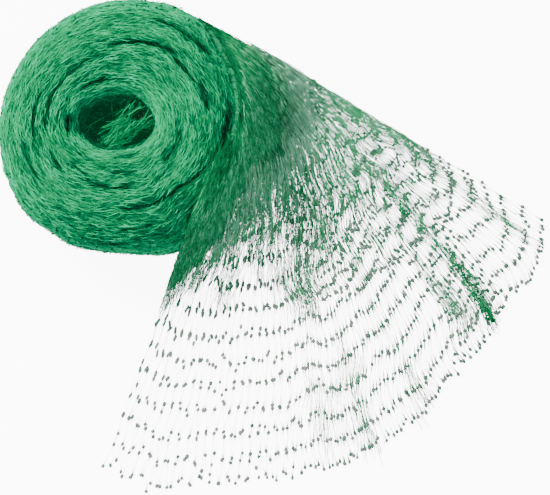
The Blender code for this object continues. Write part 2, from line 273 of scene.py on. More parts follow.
def new_material(name: str, settings: dict) -> tuple[Material, bpy.types.Node]:
    """Makes a node material with a Principled shader.

    Args:
        name: the material's name.
        settings: values for the shader's own sockets.

    Returns:
        The material and its shader.
    """
    material = bpy.data.materials.new(name)
    material.use_nodes = True
    tree = material.node_tree
    tree.nodes.clear()
    shader = add_node(tree, "ShaderNodeBsdfPrincipled", settings, {})
    add_node(tree, "ShaderNodeOutputMaterial", {}, {"Surface": shader.outputs["BSDF"]})
    return material, shader


@dataclass(frozen=True)
class DrawnMonofilament:
    """Green polyethylene monofilament, drawn through a die and stretched.

    Drawing leaves a smooth, glossy and slightly waxy thread. Its colour ramp runs from deep green, painted
    shade where threads shade each other, to mint green, painted highlights where a thread turns to the light.
    """

    name: str
    shade: str = "#00341d"  # painted shade between threads that lie deep in a crease
    deep: str = "#00764a"
    body: str = "#00b873"
    bright: str = "#1cdf9f"
    roughness: float = 0.46
    ior: float = 1.51
    gloss: float = 0.03  # specular level: a matted thread's neighbours catch most of what it mirrors
    painted_glow: float = 0.0  # emission: painted light that stands for light coming through the net around it, which a solid body would stop
    streak_mm: float = 7.0  # length over which a drawn thread's colour changes
    streak_tone: float = 0.16  # how much it changes to each side
    tones: Pair = (-0.6, 1.0)  # tone of the darkest and of the palest thread
    stops: tuple[float, ...] = (0.0, 0.38, 0.68, 1.0)  # between them, where each of the four colours lies

    def build(self) -> Material:
        """Makes the material. Each thread's tone, with its painted shade and highlights, comes from the
        mesh's tone attribute.

        Returns:
            The material.
        """
        settings = {
            "Roughness": self.roughness,
            "IOR": self.ior,
            "Specular IOR Level": self.gloss,
            "Emission Color": linear(self.body),
            "Emission Strength": self.painted_glow,
        }
        material, shader = new_material(self.name, settings)
        tree = material.node_tree
        tone = add_node(tree, "ShaderNodeAttribute", {"attribute_name": "tone"}, {})
        place = add_node(tree, "ShaderNodeTexCoord", {}, {})
        grain = {"Scale": per_metre(self.streak_mm), "Detail": 2.0, "Roughness": 0.6}
        streak = add_node(tree, "ShaderNodeTexNoise", grain, {"Vector": place.outputs["Object"]})
        limits = {"From Min": 0.3, "From Max": 0.7, "To Min": -self.streak_tone, "To Max": self.streak_tone}
        spread = add_node(tree, "ShaderNodeMapRange", limits, {"Value": streak.outputs["Fac"]})
        both = {0: tone.outputs["Fac"], 1: spread.outputs["Result"]}
        mixed = add_node(tree, "ShaderNodeMath", {"operation": "ADD"}, both)
        limits = {"From Min": self.tones[0], "From Max": self.tones[1]}
        lightness = add_node(tree, "ShaderNodeMapRange", limits, {"Value": mixed.outputs["Value"]})
        ramp = add_node(tree, "ShaderNodeValToRGB", {}, {"Fac": lightness.outputs["Result"]})
        colours = (self.shade, self.deep, self.body, self.bright)
        set_ramp(ramp, tuple(zip(self.stops, colours, strict=True)))
        tree.links.new(ramp.outputs["Color"], shader.inputs["Base Color"])
        return material


@dataclass(frozen=True)
class MattedNetting:
    """Many layers of the same drawn thread, pressed together under the outer turns.

    Threads lie along the winding, so the layer is streaked that way, and it is darker than the outer
    threads because little light comes out of it again.
    """

    name: str
    deep: str = "#00432a"
    body: str = "#008a56"
    roughness: float = 0.7
    ior: float = 1.51
    gloss: float = 0.08
    thread_mm: float = 0.9  # thread spacing, drawn twice as coarse as it is so that it shows
    run_mm: float = 9.0  # length of the streaks that the threads make
    relief_mm: float = 0.4

    def build(self) -> Material:
        """Makes the material. The run map gives millimetres along and across the threads.

        Returns:
            The material.
        """
        settings = {"Roughness": self.roughness, "IOR": self.ior, "Specular IOR Level": self.gloss}
        material, shader = new_material(self.name, settings)
        tree = material.node_tree
        run = add_node(tree, "ShaderNodeUVMap", {"uv_map": "run"}, {})
        size = {"Scale": (1 / self.run_mm, 1 / self.thread_mm, 1.0)}
        scaled = add_node(tree, "ShaderNodeMapping", size, {"Vector": run.outputs["UV"]})
        grain = {"Scale": 1.0, "Detail": 3.0, "Roughness": 0.65, "Distortion": 0.4}
        threads = add_node(tree, "ShaderNodeTexNoise", grain, {"Vector": scaled.outputs["Vector"]})
        relief = {"Distance": self.relief_mm * MM, "Strength": 0.8}
        bump = add_node(tree, "ShaderNodeBump", relief, {"Height": threads.outputs["Fac"]})
        ramp = add_node(tree, "ShaderNodeValToRGB", {}, {"Fac": threads.outputs["Fac"]})
        set_ramp(ramp, ((0.3, self.deep), (0.7, self.body)))
        tree.links.new(ramp.outputs["Color"], shader.inputs["Base Color"])
        tree.links.new(bump.outputs["Normal"], shader.inputs["Normal"])
        return material


@dataclass(frozen=True)
class StudioPaper:
    """Matt white background paper. It shows no grain from a step away, and its own light hides shadows."""

    name: str = "studio_paper"
    white: str = "#f4f5f4"
    fibre: str = "#eef0ee"
    light: str = "#ffffff"
    glow: float = 9.0
    roughness: float = 0.95
    fibre_mm: float = 3.0

    def build(self) -> Material:
        """Makes the material, with faint fibre in its colour.

        Returns:
            The material.
        """
        settings = {
            "Roughness": self.roughness,
            "Emission Color": linear(self.light),
            "Emission Strength": self.glow,
        }
        material, shader = new_material(self.name, settings)
        tree = material.node_tree
        place = add_node(tree, "ShaderNodeTexCoord", {}, {})
        grain = {"Scale": per_metre(self.fibre_mm), "Detail": 3.0}
        fibre = add_node(tree, "ShaderNodeTexNoise", grain, {"Vector": place.outputs["Object"]})
        ramp = add_node(tree, "ShaderNodeValToRGB", {}, {"Fac": fibre.outputs["Fac"]})
        set_ramp(ramp, ((0.0, self.fibre), (1.0, self.white)))
        tree.links.new(ramp.outputs["Color"], shader.inputs["Base Color"])
        return material


# ---- meshes ----


class Held(Enum):
    """Which of the part's two pieces of net a mesh stands for."""

    WOUND = (ROLL_NODE, "wound_netting")
    LOOSE = (END_NODE, "spread_netting")


def new_mesh(name: str, points: Array, faces: list) -> bpy.types.Mesh:
    """Makes a mesh.

    Args:
        name: the mesh's name.
        points: its points, in millimetres.
        faces: each face's point numbers.

    Returns:
        The mesh, in metres.
    """
    mesh = bpy.data.meshes.new(name)
    mesh.from_pydata(points.reshape(-1, 3) * MM, [], faces)
    mesh.update()
    return mesh


def add_run_map(mesh: bpy.types.Mesh, places: Array) -> None:
    """Gives each face's corners their millimetres along and across the threads."""
    layer = mesh.uv_layers.new(name="run")
    layer.uv.foreach_set("vector", places.reshape(-1).astype(np.float32))


def add_piece(name: str, mesh: bpy.types.Mesh, material: Material, held: Held) -> Piece:
    """Links a mesh as a piece of the object.

    Args:
        name: the piece's name.
        mesh: its mesh, in metres.
        material: its finish.
        held: the node that it stands for, whose own part is hidden.

    Returns:
        The piece.
    """
    mesh.shade_smooth()
    mesh.materials.append(material)
    piece = bpy.data.objects.new(name, mesh)
    bpy.context.scene.collection.objects.link(piece)
    node, slot = held.value
    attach(piece, "root")
    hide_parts(node)
    log.info("%s: %d faces", name, len(mesh.polygons))
    return piece


class MeshOfMany:
    """Collects many small like shapes, and joins them in one mesh with a tone for each."""

    sides = 3  # of a thread

    def __init__(self) -> None:
        """Starts empty."""
        self.points: list[Array] = []
        self.tones: list[Array] = []
        self.faces: list[list[int]] = []
        self.count = 0

    def keep(self, points: Array, tones: Array) -> None:
        """Adds points with the tone of each. Their faces come before them."""
        self.points.append(points.reshape(-1, 3))
        self.tones.append(tones)
        self.count += len(tones)

    def add_strands(self, paths: Array, normals: Array, radius: Array, tone: Array) -> None:
        """Adds threads of three sides, each closed at both ends.

        Args:
            paths: middle points, strands by points by 3, in millimetres.
            normals: the direction that is up at each point.
            radius: each point's radius, strands by points.
            tone: each point's tone, strands by points, or one for each strand.
        """
        strands, steps = paths.shape[:2]
        along = unit(np.gradient(paths, axis=1))
        beside = unit(np.cross(along, normals))
        above = np.cross(beside, along)
        turns = math.pi / 2 + math.tau / self.sides * np.arange(self.sides)
        ring = np.cos(turns)[:, None] * beside[:, :, None, :] + np.sin(turns)[:, None] * above[:, :, None, :]
        points = paths[:, :, None, :] + ring * radius[:, :, None, None]
        first = np.arange(strands * steps).reshape(strands, steps) * self.sides + self.count
        start, onward = first[:, :-1, None], first[:, 1:, None]
        side = np.arange(self.sides)
        after = (side + 1) % self.sides
        quads = np.stack([start + side, start + after, onward + after, onward + side], axis=-1)
        self.faces += quads.reshape(-1, 4).tolist()
        self.faces += (first[:, :1] + side[::-1]).tolist()
        self.faces += (first[:, -1:] + side).tolist()
        self.keep(points, np.repeat(np.broadcast_to(tone, radius.shape).reshape(-1), self.sides))

    def add_knots(self, centres: Array, along: Array, above: Array, half: Array, tone: Array) -> None:
        """Adds knots, each a small rounded lump longer than it is wide.

        Args:
            centres: knots by 3, in millimetres.
            along: the thread's direction at each knot.
            above: the direction that is up at each knot.
            half: half length and half width of each knot.
            tone: each knot's tone.
        """
        corners, faces = icosahedron()
        along = unit(along)
        beside = unit(np.cross(along, above))
        above = np.cross(beside, along)
        shape = (
            corners[None, :, :1] * half[:, None, :1] * along[:, None, :]
            + corners[None, :, 1:2] * half[:, None, 1:] * beside[:, None, :]
            + corners[None, :, 2:] * half[:, None, 1:] * above[:, None, :]
        )
        first = np.arange(len(centres))[:, None, None] * len(corners) + self.count
        self.faces += (first + faces[None]).reshape(-1, 3).tolist()
        self.keep(centres[:, None, :] + shape, np.repeat(tone, len(corners)))

    def piece(self, name: str, finish: Material, held: Held) -> Piece:
        """Joins the shapes, with their tone attribute, as a piece.

        Args:
            name: the piece's name.
            finish: its material.
            held: what it stands for.

        Returns:
            The piece.
        """
        mesh = new_mesh(name, np.concatenate(self.points), self.faces)
        tones = mesh.attributes.new("tone", "FLOAT", "POINT")
        tones.data.foreach_set("value", np.concatenate(self.tones).astype(np.float32))
        return add_piece(name, mesh, finish, held)


def icosahedron() -> Places:
    """A regular icosahedron of radius one, with corners at both X poles.

    Returns:
        Its corners, and the corners' numbers for each outward face.
    """
    ring = np.radians(72.0 * np.arange(5))
    height, reach = 1 / math.sqrt(5), 2 / math.sqrt(5)
    upper = np.stack([np.full(5, height), reach * np.cos(ring), reach * np.sin(ring)], axis=1)
    turned = ring + math.radians(36)
    lower = np.stack([np.full(5, -height), reach * np.cos(turned), reach * np.sin(turned)], axis=1)
    corners = np.concatenate([[[1.0, 0.0, 0.0]], upper, lower, [[-1.0, 0.0, 0.0]]])
    faces = []
    for place in range(5):
        after = (place + 1) % 5
        faces += [[0, 1 + place, 1 + after], [1 + place, 6 + place, 1 + after]]
        faces += [[1 + after, 6 + place, 6 + after], [11, 6 + after, 6 + place]]
    return corners, np.array(faces)


@dataclass
class SurfaceMap:
    """A surface as a grid of points. Threads run along its columns and weave across its rows."""

    points: Array  # rows by columns by 3
    row_range: Pair
    column_range: Pair
    wraps: bool = False
    outward: float = 1.0  # -1 where along times across points inwards
    normals: Array = field(init=False)
    across_mm: Array = field(init=False)
    along_mm: Array = field(init=False)

    def __post_init__(self) -> None:
        """Works out normals and how many millimetres a step of each coordinate is."""
        rows, columns = self.points.shape[:2]
        row_step = (self.row_range[1] - self.row_range[0]) / (rows - 1)
        column_step = (self.column_range[1] - self.column_range[0]) / (columns - 1)
        across = np.gradient(self.points, axis=0)
        along = np.gradient(self.points, axis=1)
        self.normals = unit(np.cross(along, across)) * self.outward
        self.across_mm = np.linalg.norm(across, axis=2) / row_step
        self.along_mm = np.linalg.norm(along, axis=2) / column_step

    def face_up(self) -> None:
        """Turns every normal that points down to point up."""
        self.normals *= np.where(self.normals[..., 2:] < 0, -1.0, 1.0)

    def read(self, values: Array, across: Array, along: Array) -> Array:
        """Reads values held on the grid, smoothly between its points.

        Args:
            values: numbers or vectors on the grid.
            across: each place's coordinate over the rows.
            along: its coordinate over the columns.

        Returns:
            The value at each place.
        """
        rows, columns = self.points.shape[:2]
        row = (across - self.row_range[0]) / (self.row_range[1] - self.row_range[0]) * (rows - 1)
        column = (along - self.column_range[0]) / (self.column_range[1] - self.column_range[0])
        column = column * (columns - 1)
        if self.wraps:
            row, column = row % (rows - 1), column % (columns - 1)
        return read_grid(values, np.clip(row, 0, rows - 1.001), np.clip(column, 0, columns - 1.001))

    def scatter(self, count: int, weight: Array, rng: np.random.Generator) -> Places:
        """Places spread over the surface by area.

        Args:
            count: how many.
            weight: how thickly each grid point is covered, from 0.
            rng: the random numbers.

        Returns:
            The places' across and along coordinates.
        """
        rows, columns = self.points.shape[:2]
        size = (self.across_mm * self.along_mm * weight).reshape(-1)
        picked = rng.choice(size.size, count, p=size / size.sum())
        row, column = picked // columns + rng.random(count) - 0.5, picked % columns + rng.random(count) - 0.5
        across = self.row_range[0] + row / (rows - 1) * (self.row_range[1] - self.row_range[0])
        along = self.column_range[0] + column / (columns - 1) * (self.column_range[1] - self.column_range[0])
        return across, along


@dataclass(frozen=True)
class Weave:
    """How threads lie on a surface."""

    radius: float  # of a thread, drawn thicker than it is where it wouldn't show
    points: int  # in each thread
    step: float  # between the points
    sideways: float  # how far a thread swings to each side between its knots
    swing: float  # length of one swing there and back
    rise: float  # how far it lifts and sinks
    depth: Pair  # height over the surface of the lowest and highest threads
    tone: Pair  # of those threads: the lower ones are painted darker, as shade
    sunk: float = 1.2  # how far its ends dip out of sight
    tone_spread: float = 0.2
    painted_highlight_share: float = 0.0  # share of the threads that get a painted highlight
    crossing: float = 5.0  # degrees to each side at which the mesh's two ways of thread run


@dataclass(frozen=True)
class ThreadLayer:
    """Lays threads on a surface map, each a little unlike the next in length, swing, tone and radius."""

    surface: SurfaceMap
    weave: Weave
    rng: np.random.Generator
    lengths: Pair = (0.7, 1.35)  # shortest and longest, as shares of the weave's own
    swings: Pair = (0.7, 1.4)
    sideways: Pair = (0.3, 1.4)
    radii: Pair = (0.75, 1.25)
    level_ends: Pair = (0.55, 1.0)  # share of the way to its end at which a thread starts to dip, and is down
    lift_pace: float = 1.37  # tone gained by a thread with a painted highlight
    painted_highlight_tone: float = 0.5  # tone gained by a thread that lies open to the light
    waver: float = 0.1  # tone gained and lost along a thread

    def piece(
        self, name: str, places: Places, heading: Array, shade: Array, finish: Material, held: Held
    ) -> Piece:
        """Lays one thread over each place, all as one piece.

        Args:
            name: the piece's name.
            places: the threads' middles, across and along.
            heading: degrees by which each thread turns from the surface's own direction.
            shade: grid of painted shade, the tone lost at each point of the surface, from 0; where it is
                below 0 it paints light.
            finish: their material.
            held: what they stand for.

        Returns:
            The piece.
        """
        weave, surface, rng = self.weave, self.surface, self.rng
        across, along = places
        each = (len(across), 1)
        steps = (np.arange(weave.points) - (weave.points - 1) / 2)[None, :]
        run = steps * weave.step * rng.uniform(*self.lengths, each)
        pace = np.maximum(surface.read(surface.along_mm, across, along), TINY)[:, None]
        width = np.maximum(surface.read(surface.across_mm, across, along), TINY)[:, None]
        phase = rng.uniform(0, math.tau, (len(across), 3, 1))
        swing = math.tau * run / (weave.swing * rng.uniform(*self.swings, each))
        aside = weave.sideways * rng.uniform(*self.sideways, each) * np.sin(swing + phase[:, 0])
        turn = np.radians(heading)[:, None]
        place_along = along[:, None] + (run * np.cos(turn) - aside * np.sin(turn)) / pace
        place_across = across[:, None] + (run * np.sin(turn) + aside * np.cos(turn)) / width
        level = rng.random(each)
        low, high = weave.depth
        lift = low + (high - low) * level + weave.rise * np.sin(self.lift_pace * swing + phase[:, 2])
        ends = ease(np.abs(steps) / steps.max(), *self.level_ends)
        lift = lift - ends * (weave.sunk + high)
        normals = surface.read(surface.normals, place_across, place_along)
        paths = surface.read(surface.points, place_across, place_along) + normals * lift[..., None]
        paths[..., 2] = np.maximum(paths[..., 2], weave.radius)
        # Lower threads are painted darker, as shade; a random share get painted highlights; the shade grid
        # paints shade and light.
        tone = weave.tone[0] + (weave.tone[1] - weave.tone[0]) * level
        tone = tone + rng.normal(0, weave.tone_spread, each) + self.waver * np.sin(swing + phase[:, 1])
        tone = tone + self.painted_highlight_tone * (rng.random(each) < weave.painted_highlight_share)
        tone = tone - surface.read(shade, place_across, place_along)
        radius = np.full(run.shape, weave.radius) * rng.uniform(*self.radii, each)
        threads = MeshOfMany()
        threads.add_strands(paths, normals, radius, tone)
        return threads.piece(name, finish, held)


# ---- the forms that the net follows ----


@dataclass(frozen=True)
class LooseForm:
    """The loose end: it leaves the roll's shoulder, falls like a skirt and lies spread as a fan."""

    roll_centre: Pair = (-92.8, 76.0)
    thickness: float = 2.5
    focus: Pair = (-14.3, 131.3)  # the fan's threads point back to here
    bearings: Pair = (-110.6, -31.0)  # left selvedge and right selvedge
    crowding: float = 2.5  # how much closer the threads start near the right selvedge
    leaving_line: Table = (
        # bearing, radius, height, about the roll's axis
        (-21.4, 57.9, 94), (-7.6, 66, 90.8), (12.2, 69, 86.5), (32.5, 72.5, 79), (57.4, 78.5, 70),
    )
    skirt_foot: Table = (
        # bearing, radius at which the falling skirt reaches the surface
        (-100, 121), (-67, 117), (-45, 111), (0, 110), (12, 132), (22, 152), (32, 165), (60, 190),
    )
    reach: Table = (
        # bearing from the focus, start of the open mesh, end of the net
        (-112, 186, 294), (-107, 165, 294), (-102, 136, 293), (-96, 108, 283), (-90, 95, 281),
        (-84, 90, 279), (-79, 87, 271), (-69, 82, 262), (-62, 76, 250), (-50, 68, 233), (-47, 66, 229),
        (-40, 62, 227), (-34, 60, 224), (-30, 60, 215),
    )
    folds: Table = (
        # bearing, from, to, rise, half width, how many times closer its threads lie
        (-33, 20, 120, 3, 5, 1), (-47.5, 60, 145, 5, 5, 0.6), (-47.5, 128.5, 236, 6, 5, 0.9),
        (-56, 55, 130, 3.5, 4.5, 0.8), (-71, 70, 150, 5, 5, 0.9), (-78, 205, 262, 3.5, 5, 0.8),
        (-85, 95, 165, 3, 4.5, 0.7), (-98, 110, 170, 2.5, 5, 0.4),
    )
    fold_end: float = 22.0
    bunches: Table = (
        # bearing, from, to, half width, how many times closer its threads lie
        (-35.3, 105, 228, 3, 2), (-41.5, 70, 150, 3, 1.5), (-53, 120, 215, 3, 0.9),
        (-59, 90, 170, 3.5, 0.8), (-65.5, 120, 240, 3, 0.9), (-74.5, 150, 255, 3, 0.8),
        (-80.5, 130, 230, 3, 0.7), (-91, 90, 150, 4, 0.5),
    )
    row_sway: Table = (
        # bearing, how much further out than the mean a row of knots lies there
        (-112, 0), (-104, 1), (-98, -1), (-92, 1.5), (-88, 1), (-85, 0), (-82, -2.5), (-80, -5.5),
        (-78.4, -1), (-76.5, 4), (-74, 2.5), (-71.5, -0.5), (-69, 0.5), (-66, 4), (-63, 1), (-59.5, -4),
        (-57, -3), (-53.5, 3), (-51.5, 4), (-49, -1), (-47, -4.5), (-43.5, -3.5), (-40, 0.5), (-36.8, 6),
        (-35, 3), (-33, -3.5), (-30, -7),
    )
    pleat_count: int = 11
    pleat_rise: float = 1.6
    pleat_range: Four = (0.12, 0.45, 1.15, 1.6)  # steps at which pleats start, are full, fade and end
    pleat_drift: Pair = (1.3, 5.0)  # how far pleats drift from even spacing, and how often
    fold_sway: Pair = (2.0, 17.0)  # how far a fold sways from its bearing, and over what distance
    shoulder: Pair = (80.0, 10.0)  # the skirt's upper bend: least radius, and least reach past the roll
    shoulder_lift: float = 0.5
    knee: Pair = (79.5, 20.0)  # radius and height of the skirt's lower bend
    knee_foot: Pair = (112.0, 0.3)  # the foot that this radius fits, and its share of a wider one
    fall_half_step: float = 0.02  # over which the skirt's steepness is measured

    def skirt_section(self, bearing: Array, step: Array) -> Places:
        """Follows the falling net in the upright plane at a bearing.

        Args:
            bearing: degrees about the axis.
            step: 0 where it leaves the roll, 1 at its foot.

        Returns:
            Radius and height.
        """
        from_radius = read_table(bearing, self.leaving_line, 1)
        from_height = read_table(bearing, self.leaving_line, 2)
        foot = read_table(bearing, self.skirt_foot)
        shoulder = np.maximum(self.shoulder[0], from_radius + self.shoulder[1])
        knee = self.knee[0] + (foot - self.knee_foot[0]) * self.knee_foot[1]
        heights = (from_height, from_height + self.shoulder_lift, self.knee[1], self.thickness / 2)
        return bezier((from_radius, shoulder, knee, foot), step), bezier(heights, step)

    def skirt_height(self, radius: Array, bearing: Array) -> Places:
        """Finds the falling net's middle surface.

        Args:
            radius, bearing: about the roll's axis.

        Returns:
            Its height, and how steeply it falls.
        """
        low, high = np.zeros(radius.shape), np.ones(radius.shape)
        for _ in range(HALVINGS):
            middle = (low + high) / 2
            nearer = self.skirt_section(bearing, middle)[0] < radius
            low, high = np.where(nearer, middle, low), np.where(nearer, high, middle)
        height = self.skirt_section(bearing, low)[1]
        near_r, near_h = self.skirt_section(bearing, np.clip(low - self.fall_half_step, 0, 1))
        far_r, far_h = self.skirt_section(bearing, np.clip(low + self.fall_half_step, 0, 1))
        return height, (near_h - far_h) / np.maximum(far_r - near_r, 1e-6)

    def fold_place(self, fold: tuple[float, ...], distance: Array, bearing: Array) -> Places:
        """Places a point against a fold's swaying line.

        Args:
            fold: its row of the table.
            distance, bearing: about the focus.

        Returns:
            How far the point is to the side, in the fold's half widths, and how raised the fold is there.
        """
        fold_bearing, start, end, _, half_width, _ = fold
        sway = self.fold_sway[0] * np.sin(distance / self.fold_sway[1] + fold_bearing)
        aside = np.radians(bearing - fold_bearing) * distance + sway
        lift = ease(distance, start, start + self.fold_end)
        return aside / half_width, lift * fall_off(distance, end - self.fold_end / 2, end)

    def middle_height(self, x: Array, y: Array) -> Array:
        """Height of the loose end's middle surface, with its folds.

        Args:
            x, y: plan points.

        Returns:
            The height over each.
        """
        height, _ = self.skirt_height(*polar(self.roll_centre, x, y))
        distance, bearing = polar(self.focus, x, y)
        for fold in self.folds:
            aside, raised = self.fold_place(fold, distance, bearing)
            height = height + fold[3] * raised * bell(aside)
        return height

    def bearing_at(self, share: Array) -> Array:
        """Fan bearing of a share of the net's width, 0 at the left selvedge and 1 at the right."""
        return self.bearings[0] + (self.bearings[1] - self.bearings[0]) * share

    def throat_point(self, share: Array, step: Array) -> Places:
        """Follows a thread from the winding to the open mesh.

        Args:
            share: of the net's width, from the left selvedge.
            step: 0 at the winding, 1 where the open mesh starts.

        Returns:
            Plan x and y.
        """
        first, last = self.leaving_line[0][0], self.leaving_line[-1][0]
        leaving = first + (last - first) * (1 - (1 - np.clip(share, 0, 1)) ** self.crowding)
        start = plan_point(self.roll_centre, read_table(leaving, self.leaving_line), leaving)
        bearing = self.bearing_at(share)
        end = plan_point(self.focus, read_table(bearing, self.reach), bearing)
        third = np.hypot(end[0] - start[0], end[1] - start[1]) / 3
        lead = plan_point((0.0, 0.0), third, leaving - 90.0)
        arrive = plan_point((0.0, 0.0), third, bearing)
        ways = zip(start, lead, arrive, end, strict=True)
        x, y = (bezier((from_, from_ + out, to - back, to), step) for from_, out, back, to in ways)
        return x, y

    def pleat_height(self, share: Array, step: Array) -> Array:
        """Raises the pleats.

        Args:
            share: of the net's width.
            step: 0 at the winding, 1 where the open mesh starts and 2 at its end.

        Returns:
            Their height over the middle surface.
        """
        starts, full, fades, ends = self.pleat_range
        strength = ease(step, starts, full) * fall_off(step, fades, ends)
        size, pace = self.pleat_drift
        wave = np.sin(math.tau * self.pleat_count * share + size * np.sin(pace * share))
        return self.pleat_rise * strength * (1 + wave) / 2

    def selvedge_distance(self, x: Array, y: Array) -> Array:
        """Measures from the left selvedge's line.

        Args:
            x, y: plan points.

        Returns:
            Each point's distance, positive on the net's side.
        """
        start_x, start_y = plan_point(self.roll_centre, self.leaving_line[0][1], self.leaving_line[0][0])
        bearing = self.bearings[0]
        foot_x, foot_y = plan_point(self.focus, read_table(bearing, self.reach), bearing)
        along_x, along_y = foot_x - start_x, foot_y - start_y
        return ((y - start_y) * along_x - (x - start_x) * along_y) / math.hypot(along_x, along_y)


@dataclass(frozen=True)
class WoundForm:
    """The roll: a gathered rope of net in turns round an open, oval centre."""

    loose: LooseForm
    centre: Pair = (-92.8, 76.0)
    radius: float = 79.0
    height: float = 100.0
    tuck_depth: float = 6.0
    tuck_bearings: Four = (-69.0, -54.0, 36.0, 62.0)  # the tuck starts, is full, fades and ends
    bore_offset: Pair = (-6.0, 1.5)
    bore_half: Pair = (22.0, 15.5)
    inner_fullness: float = 5.0
    outer_fullness: float = 2.3
    base_fullness: float = 4.0
    height_fullness: float = 2.4
    base_crest: Pair = (44.0, 60.0)
    side_shape: Table = (
        # bearing, added radius
        (-180, -0.9), (-145, 2.5), (-120, 0.3), (-92, -2.4), (-78, -0.2), (-68, 0.8), (-56, 0), (60, 0),
        (95, -1.8), (120, -2.5), (150, -2.9), (180, -0.9),
    )
    winding_offset: Pair = (-4.1, 0.0)
    turn_pitch: float = 14.5
    groove_phase: float = 0.68
    groove_depth: float = 1.4
    half_groove_depth: float = 0.6
    creases: Table = (
        # from bearing, to bearing, radius from, radius to, depth
        (190, 132, 47, 43.4, 2.6), (136, 102, 43.6, 41.6, 2), (100, 50, 46.6, 52.2, 3.6),
        (54, 28, 48.8, 48, 3.2), (30, 8, 51.6, 50.4, 2.6), (76, 40, 64.2, 64.6, 2.6),
        (192, 168, 34.6, 33.6, 2.8), (198, 158, 54.2, 53, 1.8), (216, 188, 60.6, 60, 1.8),
        (148, 82, 33.6, 24.4, 2.2), (220, 198, 46, 46.6, 2.4), (216, 236, 39.4, 38, 2),
        (-128, -80, 40.8, 37, 2.6), (-104, -72, 28.6, 29.6, 1.8), (-104, -60, 20.4, 19, 2.2),
        (8, -20, 61.6, 57.2, 2.6), (-18, -50, 57.4, 49.8, 3.8), (-46, -94, 49.9, 50.8, 3.2),
        (-8, -48, 34.6, 32, 2), (26, -6, 69.6, 65.6, 2.8), (-3, -24, 65.6, 58.6, 2.8),
    )
    crease_half_width: float = 2.6
    bore_wobble: float = 0.7
    rim_wobble: float = 0.5
    face_wobble: float = 1.2  # rise and fall of the upper face, strongest at the bore
    edge_hardness: int = 8  # how close to its edges an end face keeps its grooves
    groove_wander: float = 0.10  # of a turn, to each side of an even spiral
    groove_patches: Pair = (0.75, 0.35)  # mean depth, and how much it varies
    crease_soft: float = 0.1  # share of a crease's length over which each end fades
    bundle_width: float = 4.8  # of the gathered strands within a turn
    bundle_depth: float = 1.5
    bundle_waves: Table = (
        # waves round the roll, radius over which one turns by a radian, size in widths
        (2, 8, 0.42), (3, -5.5, 0.34), (5, 4, 0.26), (8, -3, 0.16),
    )
    base_ease: float = 6.0  # over which the flat ring turns into grooves
    base_flat: float = 0.6  # share of the half width within which the underside doesn't round up
    bed_margin: Pair = (-1.0, 3.0)  # the upper threads close over the loose end's edges
    bed_ends: Pair = (36.0, 48.0)
    bed_clearance: float = 0.9
    bed_lip: float = 8.0  # how far the upper face rises round the bed
    face_share: float = 0.93  # share of the half width at which an end face hands over to a side

    def bore_radius(self, bearing: Array) -> Array:
        """Measures the oval bore, which is off the roll's axis.

        Args:
            bearing: degrees about the axis.

        Returns:
            Its radius from the axis.
        """
        turn = np.radians(bearing)
        across, along = np.cos(turn) / self.bore_half[0], np.sin(turn) / self.bore_half[1]
        from_x = self.bore_offset[0] / self.bore_half[0]
        from_y = self.bore_offset[1] / self.bore_half[1]
        size = across**2 + along**2
        half = across * from_x + along * from_y
        out = (half + np.sqrt(half**2 - size * (from_x**2 + from_y**2 - 1))) / size
        return out + self.bore_wobble * unevenness(bearing, 2.0)

    def rim_radius(self, bearing: Array) -> Array:
        """Measures the roll's side at half height.

        Args:
            bearing: degrees about the axis.

        Returns:
            Its radius, less where the loose end lies over it.
        """
        low, full_low, full_high, high = self.tuck_bearings
        tuck = ease(bearing, low, full_low) * fall_off(bearing, full_high, high)
        shape = read_table(bearing, self.side_shape) + self.rim_wobble * unevenness(bearing, 1.0)
        return self.radius - self.tuck_depth * tuck + shape * (1 - tuck)

    def crown(self, across: Array, top: bool) -> Array:
        """Shapes the plain rounded section.

        Args:
            across: from -1 at the bore to 1 at the rim.
            top: the upper face, or else the lower one.

        Returns:
            Its height.
        """
        inner = self.inner_fullness if top else self.base_fullness
        outer = self.outer_fullness if top else self.base_fullness
        power = np.where(across < 0, inner, outer)
        rise = np.clip(1 - np.abs(across) ** power, 0.0, 1.0) ** (1 / self.height_fullness)
        return self.height / 2 * (1 + rise if top else 1 - rise)

    def winding_place(self, x: Array, y: Array) -> Places:
        """Radius and angle in radians about the point that the turns are wound round."""
        from_x = x - self.centre[0] - self.winding_offset[0]
        from_y = y - self.centre[1] - self.winding_offset[1]
        return np.hypot(from_x, from_y), np.arctan2(from_y, from_x)

    def grooves(self, x: Array, y: Array, bearing: Array) -> Array:
        """Cuts the grooves between turns in an end face.

        Args:
            x, y: plan points.
            bearing: degrees about the axis, for the wobble.

        Returns:
            Their depth.
        """
        radius, turn = self.winding_place(x, y)
        phase = radius / self.turn_pitch + turn / math.tau - self.groove_phase
        phase = phase + self.groove_wander * unevenness(bearing, 3.0)
        narrow = (1 - np.abs(np.sin(math.pi * phase))) ** 2
        half = (1 - np.abs(np.sin(math.tau * phase))) ** 2
        patchy = self.groove_patches[0] + self.groove_patches[1] * unevenness(bearing, 5.0)
        return self.groove_depth * narrow * patchy + self.half_groove_depth * half

    def crease(self, radius: Array, bearing: Array, half_width: float) -> Array:
        """Cuts the creases between loose turns, each a short arc.

        Args:
            radius, bearing: about the axis.
            half_width: of a crease.

        Returns:
            Their depth.
        """
        depth = np.zeros_like(radius)
        for start, end, radius_start, radius_end, deepest in self.creases:
            along = wrapped(bearing - start) / (end - start)
            fade = span(along, self.crease_soft / 2, 1 - self.crease_soft / 2, self.crease_soft)
            line = radius_start + (radius_end - radius_start) * np.clip(along, 0, 1)
            depth += deepest * fade * bell((radius - line) / half_width)
        return depth

